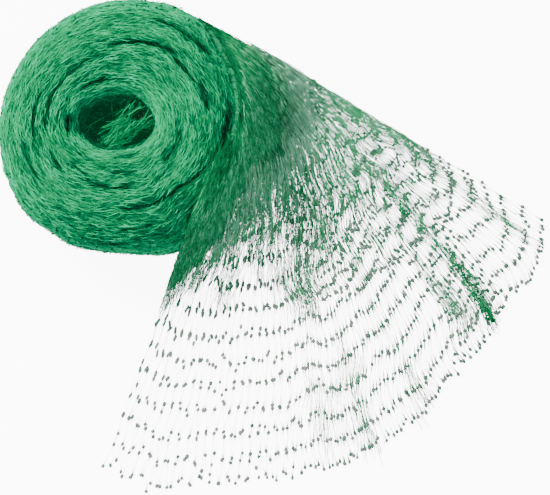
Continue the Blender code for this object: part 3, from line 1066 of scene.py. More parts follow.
    def bundles(self, x: Array, y: Array) -> Array:
        """Cuts the uneven valleys between the gathered strands within each turn.

        Args:
            x, y: plan points.

        Returns:
            Their depth.
        """
        radius, turn = self.winding_place(x, y)
        strands = round(self.turn_pitch / self.bundle_width)
        phase = strands * (radius / self.turn_pitch + turn / math.tau)
        for count, reach, size in self.bundle_waves:
            phase = phase + size * np.sin(count * turn + radius / reach)
        patchy = 0.55 + 0.45 * np.sin(3 * turn + radius / 6.0 + 1.0) * np.sin(4 * turn - radius / 9.0)
        fine = 0.35 * np.abs(np.sin(2.3 * math.pi * phase + 2.0 * np.sin(6 * turn)))
        return self.bundle_depth * ((1 - np.abs(np.sin(math.pi * phase))) ** 1.6 * patchy + fine)

    def across(self, x: Array, y: Array) -> tuple[Array, Array, Array]:
        """Places a plan point on the roll.

        Args:
            x, y: plan points.

        Returns:
            Place between bore and rim from -1 to 1, radius and bearing.
        """
        radius, bearing = polar(self.centre, x, y)
        bore, rim = self.bore_radius(bearing), self.rim_radius(bearing)
        return np.clip(2 * (radius - bore) / (rim - bore) - 1, -1.0, 1.0), radius, bearing

    def covered(self, x: Array, y: Array) -> Array:
        """Tells where the loose end lies on the upper face.

        Args:
            x, y: plan points.

        Returns:
            From 0, free, to 1, covered.
        """
        _, radius, bearing = self.across(x, y)
        under = ease(self.loose.selvedge_distance(x, y), *self.bed_margin)
        line = read_table(bearing, self.loose.leaving_line)
        under = under * ease(radius - line, *self.bed_margin)
        return under * fall_off(bearing, *self.bed_ends)

    def top_height(self, x: Array, y: Array) -> Array:
        """Height of the upper face, tucked down where the loose end lies on it.

        Args:
            x, y: plan points.

        Returns:
            The height over each.
        """
        across, radius, bearing = self.across(x, y)
        mask = 1 - np.abs(across) ** self.edge_hardness
        height = self.crown(across, True)
        crease = self.crease(radius, bearing, self.crease_half_width)
        height = height - mask * (self.grooves(x, y, bearing) + crease)
        height = height - mask * self.bundles(x, y)
        height = height + self.face_wobble * mask * unevenness(bearing, 7.0) * (1 - across) / 2
        middle, steepness = self.loose.skirt_height(radius, bearing)
        room = (self.loose.thickness / 2 + self.bed_clearance) * np.hypot(1.0, steepness)
        under = self.covered(x, y)
        ceiling = np.where(under > 0, middle - room + (1 - under) * self.bed_lip, self.height * 2)
        return np.minimum(height, ceiling)

    def base_height(self, x: Array, y: Array) -> Array:
        """Height of the underside: grooves round a flat ring that lies on the surface.

        Args:
            x, y: plan points.

        Returns:
            The height over each.
        """
        across, radius, bearing = self.across(x, y)
        (low, high), soft = self.base_crest, self.base_ease
        off_ring = ease(low - radius, 0.0, soft) + ease(radius - high, 0.0, soft)
        mask = (1 - np.abs(across) ** self.edge_hardness) * off_ring
        lift = np.where(np.abs(across) > self.base_flat, self.crown(across, False), 0.0)
        return np.maximum(lift * off_ring + mask * self.grooves(x, y, -bearing), 0.0)

    def flank_wrinkle(self, bearing: Array, height: Array) -> Array:
        """Wrinkles the side with its bundled threads.

        Args:
            bearing: degrees about the axis.
            height: over the surface.

        Returns:
            How far the side bulges out.
        """
        share = height / self.height
        turn = np.radians(bearing)
        slow = 0.9 * np.sin(7 * share * math.pi + 2 * turn) + 0.6 * np.sin(17 * turn + 9 * share)
        phase = 17 * share + 0.8 * np.sin(3 * turn + 5 * share) + 0.5 * np.sin(7 * turn - 9 * share)
        return slow - self.bundle_depth * (1 - np.abs(np.sin(math.pi * phase))) ** 1.6

    def point(self, part: int, step: Array, bearing: Array) -> Array:
        """A point of the roll.

        Args:
            part: 0 over the top, 1 down the side, 2 in below, 3 up the bore.
            step: place within that part, 0 to 1.
            bearing: degrees about the axis.

        Returns:
            The points, in millimetres.
        """
        bore, rim = self.bore_radius(bearing), self.rim_radius(bearing)
        middle, half = (rim + bore) / 2, (rim - bore) / 2
        limit = self.face_share
        if part in (0, 2):
            across = limit * (2 * step - 1) if part == 0 else limit * (1 - 2 * step)
            x, y = plan_point(self.centre, middle + half * across, bearing)
            return np.stack([x, y, self.top_height(x, y) if part == 0 else self.base_height(x, y)], axis=-1)
        side = 1 if part == 1 else -1
        edge_x, edge_y = plan_point(self.centre, middle + half * limit * side, bearing)
        upper, lower = self.top_height(edge_x, edge_y), self.base_height(edge_x, edge_y)
        height = upper + (lower - upper) * (step if part == 1 else 1 - step)
        share = np.clip(np.abs(2 * (height - lower) / (upper - lower) - 1), 0.0, 1.0)
        bulge = limit + (1 - limit) * (1 - share**self.height_fullness)
        radius = middle + half * bulge * side
        if part == 1:
            wrinkle = self.flank_wrinkle(bearing, height) * (rim > self.radius - 1)
            radius = radius + wrinkle * (1 - share**4)
        x, y = plan_point(self.centre, radius, bearing)
        return np.stack([x, y, height], axis=-1)


# ---- the wound roll ----


class Stretch(Enum):
    """From and to in the roll's section, in which each whole number is one of the form's four parts."""

    FACE = (0.0, 1.05)
    SHOULDER = (0.9, 2.0)
    OUTLINE = (0.93, 1.9)
    SIDE = (1.0, 2.25)
    BASE = (2.2, 3.0)
    BORE = (2.95, 3.99)


@dataclass
class WoundRoll:
    """The wound part: a matted body under threads that follow the turns, and loose threads over its bore."""

    form: WoundForm
    rng: np.random.Generator
    map_steps: int = 160  # grid rows in each of the four parts of the section
    map_bearings: int = 900
    skin_depth: float = 0.6  # the matted body lies this far under the outer threads
    skin_row_stride: tuple[int, int, int, int] = (2, 5, 8, 8)
    skin_column_stride: int = 4
    run_size: Pair = (0.75, 280.0)  # share of the radius, and length of the section, for the run map
    under_threads: int = 2600
    face_threads: int = 9800
    side_threads: int = 2300
    base_threads: int = 800
    bore_threads: int = 1500
    stray_threads: int = 700
    stray_turn: float = 30.0  # degrees, as all spreads of heading here
    knot_count: int = 900
    knot_length: Pair = (0.7, 1.1)  # half of it, as is the width
    knot_width: Pair = (0.45, 0.6)
    knot_rise: Pair = (-0.2, 1.2)
    thread_turn: Pair = (9.0, 6.0)  # by which threads wander together, and each alone
    wander_size: Pair = (31.0, 8.0)  # how closely that wandering follows the section and the bearing
    spiral_ends: Four = (0.02, 0.2, 0.75, 1.0)  # steps over the top between which threads follow the spiral
    under_skirt: Triple = (-52.0, 50.0, 6.0)  # hides the side from bearing to bearing, down to a height
    crossing_threads: int = 560
    crossing_heading: Pair = (-30.0, 120.0)
    crossing_level: Pair = (20.0, 66.0)
    crossing_half: float = 22.0
    tuft_threads: int = 260
    tuft_lean: float = 39.0
    tuft_spread: float = 13.0
    tuft_offset: Pair = (6.5, 0.5)  # from the bore's centre
    tuft_level: Pair = (58.0, 84.0)
    tuft_half: Pair = (3.0, 8.0)
    gap_centre: Pair = (-86.0, 82.5)
    gap_radius: Pair = (2.0, 6.0)
    valley_painted_shade: float = 0.11  # painted shade: tone lost for each millimetre of depth between strands
    crease_painted_shade: float = 0.42  # painted shade, the same per millimetre in the creases between turns
    crease_gap: float = 1.2  # half the width of a crease's painted shade
    bore_painted_shade: Pair = (0.2, 1.05)  # painted shade: tone lost at the bore's lip and on its dim wall
    lip: Pair = (0.82, 0.97)  # share of the half width at which the lip's painted shade starts and is full
    painted_light_and_shade_turns: Table = (
        # bearing, half its stretch, radius, half its width, and tone gained: painted light where it is
        # positive, painted shade where negative
        (-62, 48, 43, 4.5, 0.12), (-46, 36, 58, 8, -0.32), (-12, 28, 66, 8, -0.2),
        (-105, 50, 68, 14, -0.22), (-95, 60, 32, 9, -0.1), (20, 40, 62, 14, -0.18), (80, 50, 40, 12, -0.08),
    )
    surface: SurfaceMap = field(init=False)
    shade: Array = field(init=False)
    hidden: Array = field(init=False)

    def __post_init__(self) -> None:
        """Works out the roll's surface once, for all its threads."""
        bearings = np.linspace(-180.0, 180.0, self.map_bearings + 1)
        rows, shade, hidden = [], [], []
        first, last, lowest = self.under_skirt
        for part in range(4):
            steps = np.arange(self.map_steps + (part == 3)) / self.map_steps
            step, bearing = np.meshgrid(steps, bearings, indexing="ij")
            points = self.form.point(part, step, bearing)
            rows.append(points)
            if part == 0:
                shade.append(self.face_shade(points[..., 0], points[..., 1]))
                hidden.append(self.form.covered(points[..., 0], points[..., 1]))
            else:
                # Painted shade on the bore's wall.
                shade.append(np.full(step.shape, self.bore_painted_shade[1] * (part == 3)))
                hidden.append((bearing > first) & (bearing < last) & (points[..., 2] > lowest))
        self.surface = SurfaceMap(np.concatenate(rows), (0.0, 4.0), (-180.0, 180.0), True, -1.0)
        self.shade = np.concatenate(shade)
        self.hidden = np.concatenate(hidden)

    def face_shade(self, x: Array, y: Array) -> Array:
        """Paints shade into the upper face's valleys, creases and lip, and paints light and shade on listed
        patches of turns.

        Args:
            x, y: plan points.

        Returns:
            The tone lost at each.
        """
        place, radius, bearing = self.form.across(x, y)
        shade = (self.form.grooves(x, y, bearing) + self.form.bundles(x, y)) * self.valley_painted_shade
        shade = shade + self.form.crease(radius, bearing, self.crease_gap) * self.crease_painted_shade
        shade = shade + self.bore_painted_shade[0] * ease(-place, *self.lip)
        for middle, half_stretch, at_radius, half_width, tone in self.painted_light_and_shade_turns:
            near = (wrapped(bearing - middle) / half_stretch) ** 2 + ((radius - at_radius) / half_width) ** 2
            shade = shade - tone * np.exp(-near)
        return shade

    def scatter(self, stretch: Stretch, count: int) -> Places:
        """Spreads places over one stretch of the section, but for what the loose end hides.

        Args:
            stretch: where.
            count: how many.

        Returns:
            The places' across and along coordinates.
        """
        low, high = stretch.value
        rows = np.linspace(0.0, 4.0, self.surface.points.shape[0])[:, None]
        inside = ((rows >= low) & (rows <= high)).astype(float)
        return self.surface.scatter(count, inside * (1 - np.round(self.hidden)) + NEARLY_NONE, self.rng)

    def skin(self, finish: MattedNetting) -> None:
        """The matted body under the outer threads, one closed surface.

        Args:
            finish: its finish.
        """
        rows = []
        for part, stride in enumerate(self.skin_row_stride):
            first = part * self.map_steps
            rows += list(range(first, first + self.map_steps, stride))
        columns = range(0, self.map_bearings, self.skin_column_stride)
        points = (self.surface.points - self.surface.normals * self.skin_depth)[np.ix_(rows, columns)]
        points[..., 2] = np.maximum(points[..., 2], 0.0)
        high, wide = points.shape[:2]
        index = np.arange(high * wide).reshape(high, wide)
        onward, beside = np.roll(index, -1, axis=0), np.roll(index, -1, axis=1)
        corner = np.roll(onward, -1, axis=1)
        faces = np.stack([index, onward, corner, beside], axis=-1).reshape(-1, 4)
        mesh = new_mesh("wound_body", points, faces.tolist())
        row, column = faces // wide, faces % wide
        row = np.where(row < row[:, :1] - high / 2, row + high, row)
        row = np.where(row > row[:, :1] + high / 2, row - high, row)
        column = np.where(column < column[:, :1] - wide / 2, column + wide, column)
        around = math.tau * self.form.radius * self.run_size[0]
        add_run_map(mesh, np.stack([column / wide * around, row / high * self.run_size[1]], axis=-1))
        add_piece("wound_body", mesh, finish.build(), Held.WOUND)

    def headings(self, across: Array, along: Array) -> Array:
        """Turns threads on the upper face inwards, to follow the spiral of the turns.

        Args:
            across: each thread's place in the section.
            along: its bearing.

        Returns:
            Degrees.
        """
        radius = np.maximum(self.surface.read(self.surface.along_mm, across, along) * 180 / math.pi, 5.0)
        turning = np.degrees(np.arctan(self.form.turn_pitch / (math.tau * radius)))
        starts, full, fades, ends = self.spiral_ends
        return -turning * ease(across, starts, full) * fall_off(across, fades, ends)

    def threads(
        self, name: str, stretch: Stretch, count: int, weave: Weave, finish: Material
    ) -> None:
        """Threads over one stretch of the section.

        Args:
            name: the piece's name.
            stretch: which stretch.
            count: how many threads.
            weave: how they lie.
            finish: their material.
        """
        across, along = self.scatter(stretch, count)
        heading = self.headings(across, along) * (stretch is Stretch.FACE)
        either_way = np.where(self.rng.random(count) < 0.5, -1.0, 1.0) * weave.crossing
        together, alone = self.thread_turn
        wander = drift(across * self.wander_size[0], along / self.wander_size[1], 2.0)
        heading = heading + either_way + together * wander + self.rng.normal(0, alone, count)
        layer = ThreadLayer(self.surface, weave, self.rng)
        layer.piece(name, (across, along), heading, self.shade, finish, Held.WOUND)

    def strays(self, finish: Material) -> None:
        """Threads that stand a little out of the roll's side, the fuzz of its outline.

        Args:
            finish: their material.
        """
        places = self.scatter(Stretch.OUTLINE, self.stray_threads)
        weave = Weave(0.18, 5, 2.2, 0.9, 9.0, 0.8, (-0.3, 1.1), (0.2, 0.9), sunk=0.6)
        heading = self.rng.normal(0, self.stray_turn, self.stray_threads)
        layer = ThreadLayer(self.surface, weave, self.rng)
        layer.piece("wound_stray_threads", places, heading, self.shade, finish, Held.WOUND)

    def knots(self, finish: Material) -> None:
        """The net's knots where they show along the outline.

        Args:
            finish: their material.
        """
        count, surface = self.knot_count, self.surface
        across, along = self.scatter(Stretch.SHOULDER, count)
        normals = surface.read(surface.normals, across, along)
        centres = surface.read(surface.points, across, along)
        centres = centres + normals * self.rng.uniform(*self.knot_rise, (count, 1))
        ahead = unit(surface.read(surface.points, across, along + 0.5) - centres)
        ahead = ahead + self.rng.normal(0, 0.25, ahead.shape)
        sizes = [self.rng.uniform(*self.knot_length, count), self.rng.uniform(*self.knot_width, count)]
        lumps = MeshOfMany()
        lumps.add_knots(centres, ahead, normals, np.stack(sizes, axis=1), self.rng.normal(0.3, 0.2, count))
        lumps.piece("wound_knots", finish, Held.WOUND)

    def core(self, finish: Material) -> None:
        """Loose threads across the bore, and a slanting tuft of short ones, with a gap left at the right.

        Args:
            finish: their material.
        """
        rng, form = self.rng, self.form
        count = self.crossing_threads + self.tuft_threads
        tuft = np.arange(count) >= self.crossing_threads
        leaning = rng.normal(self.tuft_lean, self.tuft_spread, count)
        heading = np.radians(np.where(tuft, leaning, rng.uniform(*self.crossing_heading, count)))
        centre_x, centre_y = form.centre[0] + form.bore_offset[0], form.centre[1] + form.bore_offset[1]
        lean = math.radians(self.tuft_lean)
        along, beside = rng.uniform(-15.0, 13.0, count), rng.normal(-1.0, 3.6, count)
        tuft_x = centre_x + self.tuft_offset[0] + along * math.cos(lean) - beside * math.sin(lean)
        tuft_y = centre_y + self.tuft_offset[1] + along * math.sin(lean) + beside * math.cos(lean)
        aside = rng.uniform(-15.0, 15.0, count)
        middle_x = np.where(tuft, tuft_x, centre_x - np.sin(heading) * aside)[:, None]
        middle_y = np.where(tuft, tuft_y, centre_y + np.cos(heading) * aside)[:, None]
        level = np.where(tuft, rng.uniform(*self.tuft_level, count), rng.uniform(*self.crossing_level, count))
        steps = np.linspace(-1, 1, 7)[None, :]
        half = np.where(tuft, rng.uniform(*self.tuft_half, count), self.crossing_half)[:, None]
        bow = rng.normal(0, 0.09, (count, 1)) * half * (1 - steps**2)
        x = middle_x + np.cos(heading)[:, None] * steps * half - np.sin(heading)[:, None] * bow
        y = middle_y + np.sin(heading)[:, None] * steps * half + np.cos(heading)[:, None] * bow
        radius, bearing = polar(form.centre, x, y)
        inside = radius < form.bore_radius(bearing) + 1.5
        sag = rng.uniform(0.05, 0.45, (count, 1)) * half * (1 - steps**2)
        z = level[:, None] - sag + rng.normal(0, 0.16, (count, 1)) * half * steps
        clear = polar(self.gap_centre, x, y)[0].min(axis=1) > rng.uniform(*self.gap_radius, count)
        strands = MeshOfMany()
        points = np.stack([x, y, z], axis=-1)
        up = np.broadcast_to([0.0, 0.0, 1.0], (1, steps.size, 3))
        for path, within, kept, bright in zip(points, inside, clear, tuft, strict=True):
            if not kept or within.sum() < 3:
                continue
            first, last = np.flatnonzero(within)[[0, -1]]
            path = path[None, first : last + 1]
            size = np.full(path.shape[:2], rng.uniform(0.22, 0.4))
            tone = rng.normal(0.3 if bright else 0.05, 0.2)
            strands.add_strands(path, up[:, first : last + 1], size, tone)
        strands.piece("bore_crossing_threads", finish, Held.WOUND)

    def build(self) -> None:
        """Builds and dresses the whole roll."""
        thread = DrawnMonofilament("polyethylene_monofilament").build()
        # The bore's threads have a faint glow: painted light in the dim bore.
        inner = DrawnMonofilament("polyethylene_monofilament_in_the_bore", painted_glow=0.055).build()
        self.skin(MattedNetting("matted_polyethylene_netting"))
        under = Weave(0.32, 5, 4.2, 0.6, 16.0, 0.3, (-0.5, 0.1), (0.0, 0.4))
        shown = {"sunk": 0.4, "tone_spread": 0.25, "painted_highlight_share": 0.14, "crossing": 10.0}
        face = Weave(0.18, 4, 3.3, 0.4, 10.0, 0.2, (-0.1, 0.9), (0.14, 0.66), **shown)
        side = Weave(0.3, 6, 4.6, 0.7, 16.0, 0.5, (-0.4, 0.6), (0.2, 0.7), painted_highlight_share=0.1, crossing=9.0)
        base = Weave(0.36, 6, 5.0, 0.8, 20.0, 0.2, (-0.2, 0.3), (0.1, 0.6))
        bore = Weave(0.28, 5, 3.6, 0.8, 16.0, 0.6, (-0.2, 1.2), (0.3, 0.9))
        layers = (
            ("wound_under_threads", Stretch.FACE, self.under_threads, under, thread),
            ("wound_face_threads", Stretch.FACE, self.face_threads, face, thread),
            ("wound_side_threads", Stretch.SIDE, self.side_threads, side, thread),
            ("wound_base_threads", Stretch.BASE, self.base_threads, base, thread),
            ("wound_bore_threads", Stretch.BORE, self.bore_threads, bore, inner),
        )
        for layer in layers:
            self.threads(*layer)
        self.strays(thread)
        self.core(inner)
        knot = DrawnMonofilament("knotted_monofilament", deep="#063a26", body="#0c5f40", bright="#1c9a68")
        self.knots(knot.build())


# ---- the loose end ----


@dataclass
class LooseEnd:
    """The loose end: matted net down the roll's side, then a fan of open diamonds with a knot at each corner.

    A thread's place is its share of the net's width, and its distance from the fan's focus. Distances
    short of the open mesh run back up the skirt to the winding.
    """

    form: LooseForm
    rng: np.random.Generator
    columns: int = 132  # knots across the net
    rows: int = 18
    mesh_pitch: Pair = (16.1, 15.4)  # from knot row to knot row, at the left and towards the right
    clumps: float = 34.0  # bunches across the net in which its strands lie near the roll
    clump_pull: float = 0.5  # how far the strands of a bunch have drawn together
    clump_reach: Four = (-45.0, -12.0, 25.0, 95.0)  # past the open edge: they start, are full, fade and end
    second_layer: Triple = (0.3, 0.46, 0.82)  # places at which a second one begins, is full and ends
    second_reach: float = 172.0  # distance to which all of it lies double
    second_edge: float = 0.16  # width along its end that lies double further out
    filament_radius: Pair = (0.045, 0.15)  # of one filament, and of those that lie together near the roll
    flare: Table = (
        # place, radius to which the filaments thicken where they run together into a knot
        (0, 0.16), (0.2, 0.18), (0.34, 0.38), (0.5, 0.48), (0.75, 0.45), (1, 0.4),
    )
    last_knots: Table = (
        # bearing from the focus, distance of the last row of knots
        (-112, 290), (-105, 292), (-100, 288), (-96, 285), (-91, 279.5), (-85, 278), (-79, 273), (-73, 268),
        (-67, 258), (-61, 251), (-55, 240), (-49, 234), (-43, 229), (-35, 227.5), (-31, 219),
    )
    opening: Table = (
        # bearing 100 mm out, distance at which the matted net opens into single threads
        (-110, 168), (-104, 143), (-97, 112), (-93, 90), (-83, 85), (-75, 78), (-67, 69), (-58, 56),
        (-52, 42), (-45, 28), (-31, 24),
    )
    least_matted: float = 22.0  # from where the net leaves the roll
    hang: Table = (
        # bearing, how far past that edge loose strands still lie close together
        (-108, 12), (-100, 28), (-93, 60), (-86, 80), (-78, 100), (-70, 84), (-62, 72), (-50, 88),
        (-31, 92),
    )
    tangles: Table = (
        # bearing, from, to, half width, how thickly threads lie where the net has caught on itself
        (-89.5, 98, 136, 8, 0.6), (-76.5, 84, 112, 7, 0.85), (-79, 104, 172, 9, 0.46),
        (-71, 112, 138, 6, 0.5), (-52.5, 196, 226, 6, 0.3), (-35.2, 160, 205, 2.5, 0.3),
        (-80, 224, 262, 6, 0.12), (-74.5, 205, 270, 7, 0.14), (-65, 228, 256, 6, 0.14),
        (-33, 55, 135, 3.5, 0.7),
    )
    streak_middle: Table = (
        # distance, bearing of the long gathered fold
        (105, -47.6), (148, -47.5), (160, -48.2), (170, -47.6), (178, -47.9), (190, -47.5), (202, -48.2),
        (214, -48.6), (226, -48.9), (234, -49.5),
    )
    streak_half_width: Table = (
        # distance, half its width
        (105, 5), (142, 2.4), (150, 1.4), (178, 1.5), (190, 2.1), (203, 2.6), (214, 3.2), (234, 3),
    )
    streak_thickness: Table = ((100, 0.1), (140, 0.5), (170, 0.5), (190, 0.8), (225, 2.4))
    streak_reach: Pair = (104.0, 233.0)
    band_threads: int = 6600
    hanging_threads: int = 7000
    streak_threads: int = 230
    bridge_threads: int = 420
    bridge_box: Four = (-90.0, -15.0, -10.0, 75.0)  # from x to x, and from y to y
    bridge_half_width: float = 7.0
    knot_length: Pair = (1.3, 1.9)  # half of it, as is the width
    knot_width: Pair = (1.1, 1.5)
    pairing: float = 0.3  # share of the way that each second knot has slid towards its neighbour
    share_steps: int = 240
    distances: Pair = (-90.0, 310.0)
    distance_step: float = 2.5
    skin_columns: int = 150
    skin_rows: int = 60
    skin_width: float = 150.0  # across the threads, for the run map
    tucked: float = 11.0  # how far the sheet runs on under the last turn
    tuck_slope: float = 0.8  # how steeply it goes in there
    least_weight: float = 1e-12  # of a place that gets no thread
    gathered: Array = field(init=False)
    surface: SurfaceMap = field(init=False)
    lengths: Array = field(init=False)
    place: Array = field(init=False)  # of each point of the surface map, as are the next four
    distance: Array = field(init=False)
    bearing: Array = field(init=False)
    beyond: Array = field(init=False)  # past the edge at which the net opens
    from_leaving: Array = field(init=False)

    def __post_init__(self) -> None:
        """Works out how threads gather in the folds, and the surface that they lie on."""
        shares = np.linspace(0, 1, 41)
        share, step = np.meshgrid(shares, np.linspace(0, 1, 60), indexing="ij")
        x, y = self.form.throat_point(share, step)
        z = self.form.middle_height(x, y)
        run = np.sqrt(np.diff(x, axis=1) ** 2 + np.diff(y, axis=1) ** 2 + np.diff(z, axis=1) ** 2).sum(axis=1)
        self.lengths = np.stack([shares, run])
        count = int((self.distances[1] - self.distances[0]) / self.distance_step) + 1
        reach = np.linspace(*self.distances, count)
        self.gathered = self.gather(reach)
        self.place, self.distance = np.meshgrid(np.linspace(0, 1, self.share_steps + 1), reach, indexing="ij")
        self.surface = SurfaceMap(self.point(self.place, self.distance), (0.0, 1.0), self.distances)
        self.surface.face_up()
        self.bearing = self.form.bearing_at(self.fan_place(self.place, self.distance)[0])
        self.beyond = self.distance - self.dense_edge(self.place)
        self.from_leaving = self.distance - self.leaving_distance(self.place)

    def gather(self, distance: Array) -> Array:
        """Share of the fan's angle at which each thread lies, closer together in the folds.

        Args:
            distance: from the focus.

        Returns:
            Threads by distances.
        """
        shares = np.linspace(0, 1, 801)
        bearing = self.form.bearing_at(shares)
        made = np.zeros((self.share_steps + 1, len(distance)))
        for index, away in enumerate(np.maximum(distance, 80.0)):
            density = np.ones_like(shares)
            for fold in self.form.folds:
                kept_to = min(away, fold[2] - self.form.fold_end / 2) if fold[2] > 220.0 else away
                aside, raised = self.form.fold_place(fold, np.full_like(bearing, kept_to), bearing)
                density += fold[5] * raised * bell(aside)
            for middle, start, end, half_width, closeness in self.form.bunches:
                aside = np.radians(bearing - middle) * away + 1.6 * np.sin(away / 11.0 + middle)
                density += closeness * span(away, start, end, 12) * bell(aside / half_width)
            total = np.concatenate([[0.0], np.cumsum((density[1:] + density[:-1]) / 2)])
            made[:, index] = np.interp(np.linspace(0, total[-1], self.share_steps + 1), total, shares)
        return made

    def fan_place(self, place: Array, distance: Array) -> tuple[Array, Array, Array]:
        """Places threads in the fan.

        Args:
            place, distance: where on the sheet.

        Returns:
            Share of the fan's angle, start of the open mesh and end of the net.
        """
        column = (distance - self.distances[0]) / self.distance_step
        column = np.clip(column, 0, self.gathered.shape[1] - 1.001)
        row = np.clip(place * self.share_steps, 0, self.share_steps - 0.001)
        share = read_grid(self.gathered, row, column)
        bearing = self.form.bearing_at(share)
        return share, read_table(bearing, self.form.reach, 1), read_table(bearing, self.form.reach, 2)

    def point(self, place: Array, distance: Array) -> Array:
        """A point of the middle surface, tucked in under the last turn where the net leaves the roll.

        Args:
            place, distance: where on the sheet.

        Returns:
            The points, in millimetres.
        """
        share, start, end = self.fan_place(place, distance)
        in_fan = distance >= start
        fan_x, fan_y = plan_point(self.form.focus, distance, self.form.bearing_at(share))
        length = np.interp(share, *self.lengths)
        step = np.clip(1 - (start - distance) / length, 0.0, 1.0)
        throat_x, throat_y = self.form.throat_point(share, step)
        x, y = np.where(in_fan, fan_x, throat_x), np.where(in_fan, fan_y, throat_y)
        beyond = np.where(in_fan, 1 + (distance - start) / (end - start), step)
        z = self.form.middle_height(x, y) + self.form.pleat_height(share, beyond)
        inwards = np.clip(start - length - distance, 0.0, self.tucked)
        centre_x, centre_y = self.form.roll_centre
        from_x, from_y = x - centre_x, y - centre_y
        shrink = 1 - inwards / np.maximum(np.hypot(from_x, from_y), 1.0)
        x, y = centre_x + from_x * shrink, centre_y + from_y * shrink
        return np.stack([x, y, z - self.tuck_slope * inwards], axis=-1)

    def leaving_distance(self, place: Array) -> Array:
        """The distance coordinate at which a thread leaves the winding."""
        share, start, _ = self.fan_place(place, np.full_like(place, 80.0))
        return start - np.interp(share, *self.lengths)

    def opening_bearing(self, place: Array) -> Array:
        """A thread's bearing 100 mm out, about where the net opens."""
        return self.form.bearing_at(self.fan_place(place, np.full_like(place, 100.0))[0])

    def dense_edge(self, place: Array) -> Array:
        """Distance at which the matted net opens into single threads."""
        edge = read_straight(self.opening_bearing(place), self.opening)
        return np.maximum(edge, self.leaving_distance(place) + self.least_matted)

    def clumped(self, place: Array, distance: Array) -> Array:
        """Draws the strands near the roll together in bunches, with gaps between.

        Args:
            place, distance: where on the sheet.

        Returns:
            The place that it moves to.
        """
        beyond = distance - self.dense_edge(place)
        starts, full, fades, ends = self.clump_reach
        strength = ease(beyond, starts, full) * fall_off(beyond, fades, ends)
        wander = 1.6 * np.sin(distance / 13.0 + 9.0 * place) + 1.8 * np.sin(distance / 31.0 + 23.0 * place)
        turns = math.tau * self.clumps
        return np.clip(place + strength * self.clump_pull / turns * np.sin(turns * place + wander), 0.0, 1.0)

    def room(self, place: Array, distance: Array) -> Array:
        """Millimetres from each strand to the next across the net."""
        return self.surface.read(self.surface.across_mm, place, distance) / self.columns

    def in_fold(self, fold: tuple[float, ...], narrowness: float) -> Array:
        """How far each point of the surface map lies in a fold, from 0 to 1."""
        aside, raised = self.form.fold_place(fold, np.maximum(self.distance, 1.0), self.bearing)
        return raised * np.exp(-narrowness * aside**2)

    def skin(self, finish: MattedNetting) -> Piece:
        """The matted sheet from under the last turn to where the net opens, its outer edge in soft lobes.

        Args:
            finish: its finish.

        Returns:
            The piece.
        """
        place = np.linspace(0, 1, self.skin_columns + 1)
        first = self.leaving_distance(place) - 10.0
        last = self.dense_edge(place) - 9.0 + 6.0 * drift(place * 62.0, place * 23.0, 3.0)
        step = np.linspace(0, 1, self.skin_rows + 1)[None, :]
        distance = first[:, None] + (last - first)[:, None] * step
        across = np.repeat(place[:, None], distance.shape[1], axis=1)
        points = self.surface.read(self.surface.points, across, distance)
        index = np.arange(distance.size).reshape(distance.shape)
        faces = np.stack([index[:-1, :-1], index[:-1, 1:], index[1:, 1:], index[1:, :-1]], axis=-1)
        faces = faces.reshape(-1, 4)
        mesh = new_mesh("matted_sheet", points, faces.tolist())
        run = np.stack([distance, across * self.skin_width], axis=-1)
        add_run_map(mesh, run.reshape(-1, 2)[faces.reshape(-1)])
        return add_piece("matted_sheet", mesh, finish.build(), Held.LOOSE)

    def band_weight(self) -> Array:
        """How thickly gathered threads lie on each point of the surface map.

        Returns:
            The weight: full over the matted sheet, a little past its edge in patches, and some in the folds.
        """
        patches = ease(drift(self.place * 44.0, self.distance / 9.0, 5.0), -0.15, 0.45)
        reach = 26.0 + 34.0 * ease(self.place, 0.3, 0.7)
        hanging = (0.05 + 0.2 * patches) * fall_off(self.beyond, 0.0, reach)
        weight = np.maximum(fall_off(self.beyond, -22.0, 4.0), hanging)
        for fold in self.form.folds:
            weight = np.maximum(weight, 0.05 * fold[5] * self.in_fold(fold, 1.6))
        return weight * (self.from_leaving > 0.5) * (self.distance < self.distances[1] - 70.0)

    def band(self, finish: Material) -> Piece:
        """Threads over the matted sheet, with painted shade in the roll's shadow and painted light near the
        edge where the net opens.

        Args:
            finish: their material.

        Returns:
            The piece.
        """
        weight = self.band_weight() + self.least_weight
        across, along = self.surface.scatter(self.band_threads, weight, self.rng)
        across = self.clumped(across, along)
        # Painted shade where the roll's shadow falls near where the net leaves it, faint darker stripes
        # across the net, and painted light near the open edge.
        painted_light_near_edge = 0.6 * ease(self.opening_bearing(self.place), -98.0, -84.0)
        shade = 0.75 * bell((self.from_leaving - 10.0) / 12.0) + 0.05 * (1 + np.sin(self.place * 60.0))
        clear = ease(self.from_leaving, 12.0, 26.0)
        shade = shade - painted_light_near_edge * ease(self.beyond, -26.0, 0.0) * clear
        waving = 9.0 * fall_off(across, 0.1, 0.3) * drift(across * 30.0, along / 9.0, 3.0)
        heading = self.rng.normal(0, 7.0, len(across)) - waving
        weave = Weave(0.22, 4, 4.0, 0.4, 13.0, 0.3, (-0.1, 1.1), (0.2, 0.65), sunk=0.2, painted_highlight_share=0.12)
        layer = ThreadLayer(self.surface, weave, self.rng)
        return layer.piece("gathered_threads", (across, along), heading, shade, finish, Held.LOOSE)

